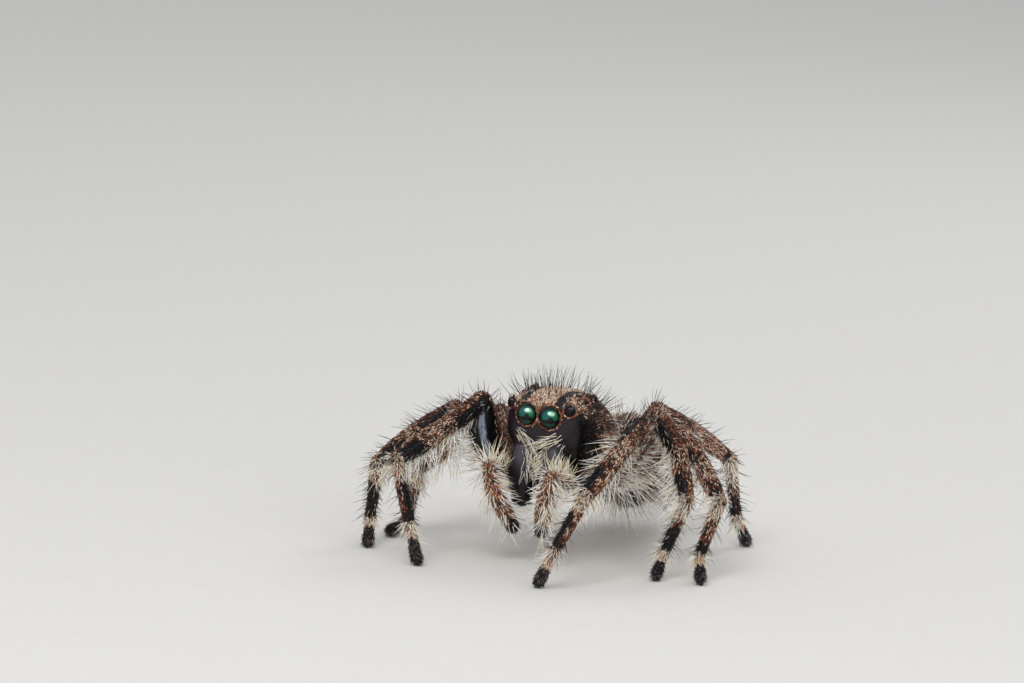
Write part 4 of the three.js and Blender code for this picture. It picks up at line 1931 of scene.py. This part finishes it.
@dataclass(frozen=True)
class HairKind:
    """How one kind of hair grows.

    Erect, flat and stray are the shares of its aim along the normal, along the lie and at random.
    Curl and droop draw its tip aside at random and downwards, and swept draws it along the lie.
    """

    length: tuple[float, float]
    girth: float
    erect: float
    flat: float
    stray: float
    swept: float = 0.0
    curl: float = 0.0
    droop: float = 0.0
    rings: tuple[float, ...] = (0, 0.4, 0.75)

    def grow(self, coat: Coat, roots: Roots, rng: np.random.Generator) -> None:
        """Grows hairs in locks that bend alike.

        Args:
            coat: the piece that they join.
            roots: where they grow.
            rng: draws their differences.
        """
        count = len(roots)
        lock = np.stack([cloud(roots.points, LOCK, seed) for seed in (21, 22, 23)], axis=-1)
        aims = roots.normals * self.erect + roots.lies * self.flat + roots.lean
        aims = aims + self.stray * (0.8 * lock + rng.normal(0, 0.8, (count, 3)))
        bends = roots.lies * self.swept + self.curl * (lock + rng.normal(0, 0.8, (count, 3)))
        bends = bends - self.droop * UPWARDS
        lengths = rng.uniform(*self.length, count)
        girths = self.girth * rng.uniform(0.8, 1.15, count)
        coat.hairs(roots, unit(aims), bends, lengths, girths, self.rings)


@dataclass(frozen=True)
class ScaleKind:
    """How flat scales grow: their length and width, how far they turn from the lie, and stand off."""

    length: float
    width: float
    stray: float
    lift: float

    def grow(self, coat: Coat, roots: Roots, rng: np.random.Generator) -> None:
        """Grows scales that lie along the skin.

        Args:
            coat: the piece that they join.
            roots: where they grow.
            rng: draws their differences.
        """
        count = len(roots)
        aims = unit(roots.lies + roots.sides() * rng.normal(0, self.stray, (count, 1)))
        lengths = self.length * rng.uniform(0.7, 1.25, count)
        widths = self.width * rng.uniform(0.8, 1.25, count)
        coat.scales(roots, aims, lengths, widths, self.lift * rng.uniform(0.4, 1.9, count))


LEG_SCALE = ScaleKind(0.14, 0.034, 0.26, 0.17)
HEAD_SCALE = ScaleKind(0.115, 0.046, 1.2, 0.2)
FLANK_SCALE = ScaleKind(0.16, 0.03, 0.35, 0.17)
RING_SCALE = ScaleKind(0.12, 0.034, 0.2, 0.1)
PILE = HairKind((0.18, 0.32), 0.012, 0.45, 1.0, 0.22, swept=0.15, curl=0.05)
TUFT = HairKind((0.2, 0.42), 0.015, 0.9, 0.8, 0.25, curl=0.12)
FRINGE = HairKind((0.55, 1.05), 0.0185, 0.9, 0.45, 0.22, swept=0.3, curl=0.24, droop=0.05, rings=FINE_RINGS)
SHORT_FRINGE = HairKind((0.3, 0.6), 0.015, 0.9, 0.6, 0.22, swept=0.2, curl=0.15, rings=FINE_RINGS)
BRISTLE = HairKind((0.3, 0.72), 0.0125, 1.0, 0.45, 0.18, swept=0.12, curl=0.03)
STUBBLE = HairKind((0.18, 0.42), 0.0125, 0.9, 0.6, 0.25, swept=0.1)
SPINE = HairKind((0.3, 0.5), 0.022, 0.75, 0.8, 0.08, swept=0.1)
BRUSH = HairKind((0.12, 0.22), 0.015, 0.7, 0.9, 0.12, rings=(0, 0.6))
RUFF = HairKind((0.3, 0.62), 0.0175, 1.0, 0.5, 0.24, swept=0.22, curl=0.13, rings=FINE_RINGS)
CLOUD = HairKind((0.55, 0.95), 0.0145, 1.0, 0.4, 0.24, swept=0.2, curl=0.2, rings=FINE_RINGS)
FAN = HairKind((0.5, 0.95), 0.018, 0.8, 0.1, 0.26, swept=-0.12, curl=0.14, rings=FINE_RINGS)
TIP = HairKind((0.12, 0.24), 0.015, 0.6, 1.0, 0.15)
CREST = HairKind((0.55, 1.0), 0.014, 1.0, 0.1, 0.2, swept=0.1, curl=0.05)
HAZE = HairKind((0.35, 0.75), 0.0075, 1.0, 0.5, 0.25, swept=0.15, curl=0.08)
BEARD = HairKind((0.45, 0.9), 0.0125, 0.2, 0.0, 0.2, curl=0.1, droop=0.08, rings=FINE_RINGS)
JAW_HAIR = HairKind((0.3, 0.6), 0.014, 0.35, 0.8, 0.24, curl=0.14, rings=FINE_RINGS)
FLANK = HairKind((0.25, 0.5), 0.014, 0.45, 0.6, 0.22, curl=0.1, droop=0.3)
DOWN = HairKind((0.1, 0.22), 0.009, 0.5, 0.8, 0.15)
CLOSE = HairKind((0.24, 0.4), 0.016, 0.32, 1.0, 0.18, swept=0.1, curl=0.05, rings=(0, 0.5))
LONG = HairKind((0.55, 1.1), 0.0185, 0.85, 0.7, 0.24, swept=0.2, curl=0.14, droop=0.2, rings=FINE_RINGS)

Mix = tuple[tuple[Hue, float], ...]
WHITES: Mix = ((Hue.WHITE, 0.65), (Hue.CREAM, 0.25), (Hue.GREY, 0.1))
ASHES: Mix = ((Hue.WHITE, 0.75), (Hue.GREY, 0.15), (Hue.CREAM, 0.1))
CREAMS: Mix = ((Hue.WHITE, 0.4), (Hue.CREAM, 0.3), (Hue.STRAW, 0.3))
STRAWS: Mix = ((Hue.STRAW, 0.55), (Hue.CREAM, 0.25), (Hue.WHITE, 0.2))
TANS: Mix = ((Hue.CREAM, 0.4), (Hue.ROSE, 0.35), (Hue.GREY, 0.25))
BLACKS: Mix = ((Hue.BLACK, 0.8), (Hue.UMBER, 0.2))
SLATES: Mix = ((Hue.BLACK, 0.4), (Hue.SLATE, 0.5), (Hue.GREY, 0.1))
RING_HUES = (Hue.UMBER, Hue.RUST, Hue.COPPER, Hue.CREAM)
RING_SHARES = (0.2, 0.35, 0.3, 0.15)


class Layer(Enum):
    """The pieces that a part's coat is split into, each with its slot and finish."""

    SCALES = ("leg_scales", CoatFinish("scales", 0.34, metallic=0.2, specular=0.6, through=0.03))
    PALE_HAIR = ("pale_hair", CoatFinish("pale_hair", 0.48, sheen=0.15, vary=0.15, through=0.1))
    DARK_HAIR = ("dark_hair", CoatFinish("dark_hair", 0.36, vary=0.15))
    CLOSE_COAT = ("abdomen_coat", CoatFinish("pile", 0.5, specular=0.4, sheen=0.1))


def crest_lean(points: Array) -> Array:
    """Bristles lean outwards from the crown's middle and forwards over the brow."""
    forwards = -0.35 * ramp(points[:, 1], 0.6, -0.1)
    return np.stack([points[:, 0] * 0.2, forwards, np.full(len(points), 0.3)], axis=-1)


def beard_lean(points: Array) -> Array:
    """The beard sweeps to the middle of the face, and down."""
    falls = -0.15 - 0.35 * ramp(points[:, 2], 4.5, 4.1) - 0.5 * ramp(np.abs(points[:, 0]), 0.75, 1.0)
    return np.stack([-np.sign(points[:, 0]), np.full(len(points), -0.2), falls], axis=-1)


def fan_lean(points: Array) -> Array:
    """The fan on a feeler's knee stands up."""
    return np.tile([0.0, -0.15, 0.9], (len(points), 1))


@dataclass(frozen=True)
class Growth:
    """One kind of tuft on some regions: roots for each square millimetre, where, and in which hues."""

    layer: Layer
    regions: tuple[Region, ...]
    rate: float
    kind: HairKind | ScaleKind
    zone: Zone = Zone()
    mix: Mix = ()  # the markings' own hues where it is empty
    lean: Optional[Callable[[Array], Array]] = None


scaly, pale, dark = (partial(Growth, layer) for layer in (Layer.SCALES, Layer.PALE_HAIR, Layer.DARK_HAIR))

GROWTHS: dict[str, tuple[Growth, ...]] = {
    "head": (
        scaly(HEAD, 620, HEAD_SCALE, where(("cover", 0, 1), ("z", 5.2, 5.4))),
        scaly(HEAD, 620, FLANK_SCALE, where(("cover", 0, 1), ("z", 5.4, 5.2))),
        dark(HEAD, 18, CREST,
            where(("z", 4.8, 5.4), ("y", 4.0, 2.4), ("y", -0.2, 0.9)), BLACKS, crest_lean),
        pale(HEAD, 10, DOWN, where(("z", 4.7, 5.3), ("cover", 0, 1)), STRAWS),
        pale(HEAD, 16, HAZE, where(("y", 1.6, 2.4), ("z", 3.9, 4.4)), STRAWS),
        pale(HEAD, 150, FLANK, where(("y", 1.2, 1.5), ("y", 3.2, 2.4), ("z", 4.5, 4.2)), TANS),
        pale(HEAD, 60, FLANK, where(("y", 2.6, 3.4)), WHITES),
        pale(HEAD, 105, BEARD,
            where(("z", 4.6, 4.5), ("z", 3.95, 4.05), ("y", 0.4, 0.25), ("x", 1.05, 0.9), ("x", 0.1, 0.3)),
            CREAMS, beard_lean),
        pale((Region.JAW,), 120, JAW_HAIR,
            where(("fore", 0.1, 0.6), ("over", -0.4, 0.2), ("z", 3.95, 3.8), ("z", 2.9, 3.2)), CREAMS),
        dark((Region.JAW,), 24, DOWN, where(("u", 0.4, 1.0), least=0.4), BLACKS),
        pale((Region.MOUTH,), 60, SHORT_FRINGE, where(), WHITES),
    ),
    "abdomen": (
        Growth(Layer.CLOSE_COAT, (Region.ABDOMEN,), 250, CLOSE),
        pale((Region.ABDOMEN,), 40, LONG, where(("over", 0.8, 0.1), ("y", 4.4, 6.2), least=0.22), ASHES),
        dark((Region.ABDOMEN,), 7, BRISTLE, where(("over", 0.0, 0.6)), BLACKS),
        dark((Region.SPINNERET,), 90, DOWN, where(), BLACKS),
    ),
    "palp": (
        scaly(PALP_REGIONS, 330, LEG_SCALE, where(("cover", 0, 0.9))),
        pale(PALP_REGIONS, 62, RUFF, where(("over", 1.1, 0.3), least=0.12), WHITES),
        pale(PALP_REGIONS, 27, CLOUD, where(("fore", 0.2, -0.6)), WHITES),
        pale((Region.PALP_FEMUR,), 60, FAN, where(("over", 0.0, 0.5), ("u", 0.1, 0.4)), STRAWS, fan_lean),
        dark((Region.PALP_TIP,), 260, TIP, where(("u", 0.66, 0.84)), SLATES),
    ),
    "leg": (
        scaly(ALL_LEG, 600, LEG_SCALE,
            where(("cover", 0, 1), ("joint", 0.0, 0.025), ("over", -1.3, -0.5))),
        pale(ALL_LEG, 60, PILE,
            where(("cover", 0, 1), ("over", 0.6, -0.5), ("pair", 5.0, 1.5), least=0.04), WHITES),
        dark(ALL_LEG, 36, PILE, where(("cover", 1, 0)), BLACKS),
        pale((Region.COXA, Region.FEMUR), 76, FRINGE,
            where(("over", -0.3, -0.85), ("fore", 0.55, 0.15), ("u", 0.8, 0.5), ("pair", 5.0, 2.0)),
            WHITES),
        pale((Region.TIBIA,), 84, FRINGE, where(("over", -0.3, -0.8), ("pair", 4.4, 2.0)), WHITES),
        pale((Region.PATELLA,), 60, SHORT_FRINGE, where(("over", -0.3, -0.8)), WHITES),
        pale(LOWER_LEG, 80, SHORT_FRINGE, where(("over", 0.5, -0.6), ("u", 0.6, 0.3)), WHITES),
        pale(LOWER_LEG, 130, TUFT, where(("u", 0.36, 0.22)), WHITES),
        dark(JOINTED, 18, BRISTLE, where(("over", -0.4, 0.5)), BLACKS),
        dark(SHAFTS, 50, STUBBLE, where(("cover", 0.8, 0.5)), BLACKS),
        dark(SHAFTS, 3, SPINE, where(("over", 0.1, -0.4), ("u", 0.1, 0.2)), BLACKS),
        dark((Region.TARSUS,), 280, BRUSH, where(("u", 0.42, 0.62)), SLATES),
    ),
}


@dataclass
class Dresser:
    """Grows the coat of one part of the body at a time."""

    grower: Grower
    placing: Placing
    round_eye: int = 500  # scales round an eye for each millimetre of its radius
    ring_seed: int = 91

    def dress(self, part: str, growths: Sequence[Growth], forms: Sequence[Form]) -> None:
        """Grows a part's coat as one piece for each layer.

        Args:
            part: what the pieces' names start with.
            growths: what grows on it.
            forms: its forms.
        """
        coats: dict[Layer, Coat] = {}
        for growth in growths:
            coat = coats.setdefault(growth.layer, Coat(f"{part}_{growth.layer.name.lower()}"))
            for form in forms:
                if form.region in growth.regions:
                    self.grow(coat, growth, self.grower.scatter(form, growth.rate, growth.zone))
                    if growth.kind is HEAD_SCALE:
                        self.ring_eyes(coat, form)
        for layer, coat in coats.items():
            slot, finish = layer.value
            self.placing.hand_over(coat.build(), finish.material(), slot)

    def grow(self, coat: Coat, growth: Growth, roots: Roots) -> None:
        """Colours some roots and grows their tufts.

        Args:
            coat: the piece that they join.
            growth: their kind, hues and lean.
            roots: where they grow.
        """
        if not len(roots):
            return
        rng = self.grower.rng()
        if growth.mix:
            hues, shares = zip(*growth.mix)
            table, shares = palette(hues), np.array(shares) / np.sum(shares)
            roots = replace(roots, tints=table[rng.choice(len(hues), len(roots), p=shares)])
        shade = rng.uniform(0.82, 1.12, (len(roots), 1))
        roots = replace(roots, tints=np.clip(roots.tints * shade, 0, 1))
        if growth.lean:
            roots = replace(roots, lean=growth.lean(roots.points))
        growth.kind.grow(coat, roots, rng)

    def ring_eyes(self, coat: Coat, head: Form) -> None:
        """Grows scales that circle the eyes on their rims.

        Args:
            coat: the piece that they join.
            head: the form that bears the eyes.
        """
        rng = np.random.default_rng(self.ring_seed)
        hues = palette(RING_HUES)
        for plan, side in product(EYE_PLANS, Side):
            aim = plan.aim(side)
            right = unit(np.cross(aim, UPWARDS))
            up = np.cross(right, aim)
            count = int(self.round_eye * plan.radius)
            turn = (2 * math.pi * np.arange(count) / count + rng.normal(0, 0.05, count))[:, None]
            away = np.cos(turn) * right + np.sin(turn) * up
            along = np.cos(turn) * up - np.sin(turn) * right
            ring = plan.radius + plan.rim * rng.uniform(0.35, 1.3, (count, 1))
            points = plan.rim_centre(side) + away * ring
            points = points + aim * plan.rim * rng.uniform(0.3, 0.9, (count, 1))
            tints = hues[rng.choice(4, count, p=RING_SHARES)] * rng.uniform(0.7, 1.2, (count, 1))
            patches = self.grower.patches(head, 0.05 + 0.02 * away[:, 2], 0.5 + away[:, 0])
            RING_SCALE.grow(coat, Roots(points, unit(aim + away * 0.5), along, tints, patches), rng)


# ---- fangs and claws


@dataclass
class Hook:
    """A curved, pointed horn, such as a fang or a claw."""

    name: str
    root: Array
    aim: Array
    curl: Array  # how far its tip is drawn aside, in lengths
    length: float
    radius: float
    guide: tuple[float, float, float] = (0.31, 0.59, 0.74)  # any line that the horn doesn't follow

    def mesh(self) -> Piece:
        """Adds a cone and draws it out along its curve.

        Returns:
            Its object.
        """
        deselect_all()
        bpy.ops.mesh.primitive_cone_add(
            vertices=12, radius1=1.0, radius2=0.08, depth=1.0, location=(0, 0, 0.5), end_fill_type="TRIFAN"
        )
        cone = bpy.context.object
        bpy.ops.object.transform_apply(location=True, rotation=True, scale=True)
        edit_all(bpy.ops.mesh.subdivide, number_cuts=3)
        cone.name = self.name
        points = coordinates(cone)
        aim = unit(self.aim)
        first = unit(np.cross(aim, self.guide))
        second = np.cross(aim, first)
        share = points[:, 2:3]
        spine = self.root + self.length * (share * aim + share**2 * self.curl)
        set_coordinates(cone, spine + self.radius * (points[:, :1] * first + points[:, 1:2] * second))
        cone.data.shade_smooth()
        return cone


def build_fangs(placing: Placing, jaws: Sequence[Limb]) -> None:
    """Adds a fang at the foot of each jaw, folded inwards.

    Args:
        placing: puts them into the frame.
        jaws: the left jaw and the right.
    """
    finish = HornFinish("fang", 0x2A120C).material()
    for jaw, side in zip(jaws, Side):
        inwards = np.array([-side.value, 0.0, 0.0])
        root = jaw.end + np.array([side.value * 0.1, -0.05, -0.12])
        aim, curl = inwards * 0.7 + [0, 0.35, -0.5], np.array([0, 0.45, 0.25])
        fang = Hook(f"fang_{side.word}", root, aim, curl, length=0.62, radius=0.12)
        placing.hand_over(fang.mesh(), finish, "jaw")


def build_claws(placing: Placing, feet: Sequence[Limb]) -> None:
    """Adds two small claws above the brush of each foot.

    Args:
        placing: puts them into the frame.
        feet: the last part of every leg.
    """
    claws = []
    for foot in feet:
        for across in (-0.06, 0.06):
            root = foot.end + foot.up * 0.05 + foot.fore * across + foot.axis * 0.1
            aim = foot.axis + foot.up * 0.25
            claws.append(Hook("claws", root, aim, -foot.up * 0.4, length=0.17, radius=0.022).mesh())
    joined = join_all(claws, "claws")
    points = coordinates(joined)
    points[:, 2] = np.maximum(points[:, 2], FLOOR_CLEARANCE)
    set_coordinates(joined, points)
    placing.hand_over(joined, HornFinish("claw", 0x1A1512).material(), "dark_hair")


# ---- stage, lamps and camera


@dataclass
class Stage:
    """A pale floor, soft lamps and the camera."""

    placing: Placing
    azimuth: float = 28.5
    elevation: float = 9.4
    roll: float = 3.75
    distance: float = 190.0
    focal_length: float = 200.39
    aim: tuple[float, float, float] = (0.0, 0.0, EYE_LINE)
    offset: tuple[float, float] = (0.938, 2.455)  # how far the aim lies right of and below the middle

    def build(self) -> None:
        """Sets the whole stage."""
        self.floor()
        self.world()
        self.lamp("key_lamp", (15.0, -105.0, 120.0), size=80.0, power=0.09)
        self.lamp("fill_lamp", (120.0, -80.0, 60.0), size=100.0, power=0.045)
        self.lamp("rim_lamp", (20.0, 120.0, 100.0), size=70.0, power=0.035)
        self.camera()
        bpy.context.scene.view_settings.view_transform = "Standard"

    def floor(self) -> None:
        """A wide plane of pale, matt card."""
        deselect_all()
        bpy.ops.mesh.primitive_plane_add(size=4.0)
        floor = bpy.context.object
        floor.name = "floor"
        g = Graph("pale_card")
        grain = g.noise(1500.0, 2)
        colour = g.mix(grain, rgba(0xE9E6E0), rgba(0xEDEBE6))
        floor.data.materials.append(g.finish({"Base Color": colour, "Roughness": 0.85}))
        floor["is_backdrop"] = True

    def world(self) -> None:
        """Even, pale light from all round."""
        world = bpy.data.worlds.new("studio")
        world.use_nodes = True
        inputs = world.node_tree.nodes["Background"].inputs
        inputs["Color"].default_value = (0.94, 0.96, 1.0, 1.0)
        inputs["Strength"].default_value = 0.55
        bpy.context.scene.world = world

    def lamp(self, name: str, place: Sequence[float], size: float, power: float) -> None:
        """Adds a square soft lamp that looks at the spider.

        Args:
            name: the lamp's name.
            place: its place in millimetres from the spider's head.
            size: its width in millimetres.
            power: its power in watts.
        """
        data = bpy.data.lights.new(name, "AREA")
        data.shape = "SQUARE"
        data.size = size * MM
        data.energy = power
        lamp = bpy.data.objects.new(name, data)
        target = (np.array(self.aim) + self.placing.shift) * MM
        lamp.location = target + np.array(place) * MM
        lamp.rotation_euler = Vector(place).to_track_quat("Z", "Y").to_euler()
        bpy.context.scene.collection.objects.link(lamp)

    def camera(self) -> None:
        """Places the camera so that the aim shows at its place in the frame."""
        a, e, r = (math.radians(v) for v in (self.azimuth, self.elevation, self.roll))
        back = np.array([math.sin(a) * math.cos(e), -math.cos(a) * math.cos(e), math.sin(e)])
        level = np.array([math.cos(a), math.sin(a), 0.0])
        upright = np.cross(back, level)
        right = level * math.cos(r) + upright * math.sin(r)
        up = upright * math.cos(r) - level * math.sin(r)
        middle = np.array(self.aim) - right * self.offset[0] + up * self.offset[1]
        place = (middle + back * self.distance + self.placing.shift) * MM
        data = bpy.data.cameras.new("camera")
        data.lens = self.focal_length
        data.clip_start = 0.001
        data.clip_end = 10.0
        camera = bpy.data.objects.new("camera", data)
        axes = np.column_stack([right, up, back, place])
        camera.matrix_world = Matrix([*axes.tolist(), [0.0, 0.0, 0.0, 1.0]])
        bpy.context.scene.collection.objects.link(camera)
        bpy.context.scene.camera = camera


# ---- putting it together


def corners() -> list[list[float]]:
    """The whole object's box as plain lists."""
    return [[float(value) for value in corner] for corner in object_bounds()]


def main() -> None:
    """Builds skin, eyes, horn, coat and stage around the frame."""
    logging.basicConfig(level=logging.INFO, format="%(name)s: %(message)s")
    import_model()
    placing = Placing.from_frame()
    stage = Stage(placing)
    stage.build()

    legs = {number: [f for side in Side for f in Leg(number, side).forms()] for number in LEG_PLANS}
    palps = [form for side in Side for form in Palp(side).forms()]
    trunk_forms = Trunk().forms()
    forms = [*trunk_forms, *palps, *(form for pair in legs.values() for form in pair)]
    for cell, form in enumerate(forms):
        form.cell = cell

    skin = Skin(forms)
    skin.build()
    dresser = Dresser(Grower(skin), placing)
    for part, coated in (("head", trunk_forms), ("abdomen", trunk_forms), ("palp", palps)):
        dresser.dress(part, GROWTHS[part], coated)
    for number, pair in legs.items():
        dresser.dress(f"leg_{number}", GROWTHS["leg"], pair)
    skin.dress(placing)

    # the last colour of each eye is its painted highlight
    great = EyeFinish("green_eye", 0x04070A, 0xC4EFD2, green=True).material()
    small = EyeFinish("dark_eye", 0x0B090F, 0x6A5C74).material()
    for plan, side in product(EYE_PLANS, Side):
        Eye(plan, side).build(placing, great if plan.great else small)
    build_fangs(placing, [form for form in trunk_forms if form.region is Region.JAW])
    build_claws(placing, [form for pair in legs.values() for form in pair if form.region is Region.TARSUS])


if __name__ == "__main__":
    main()
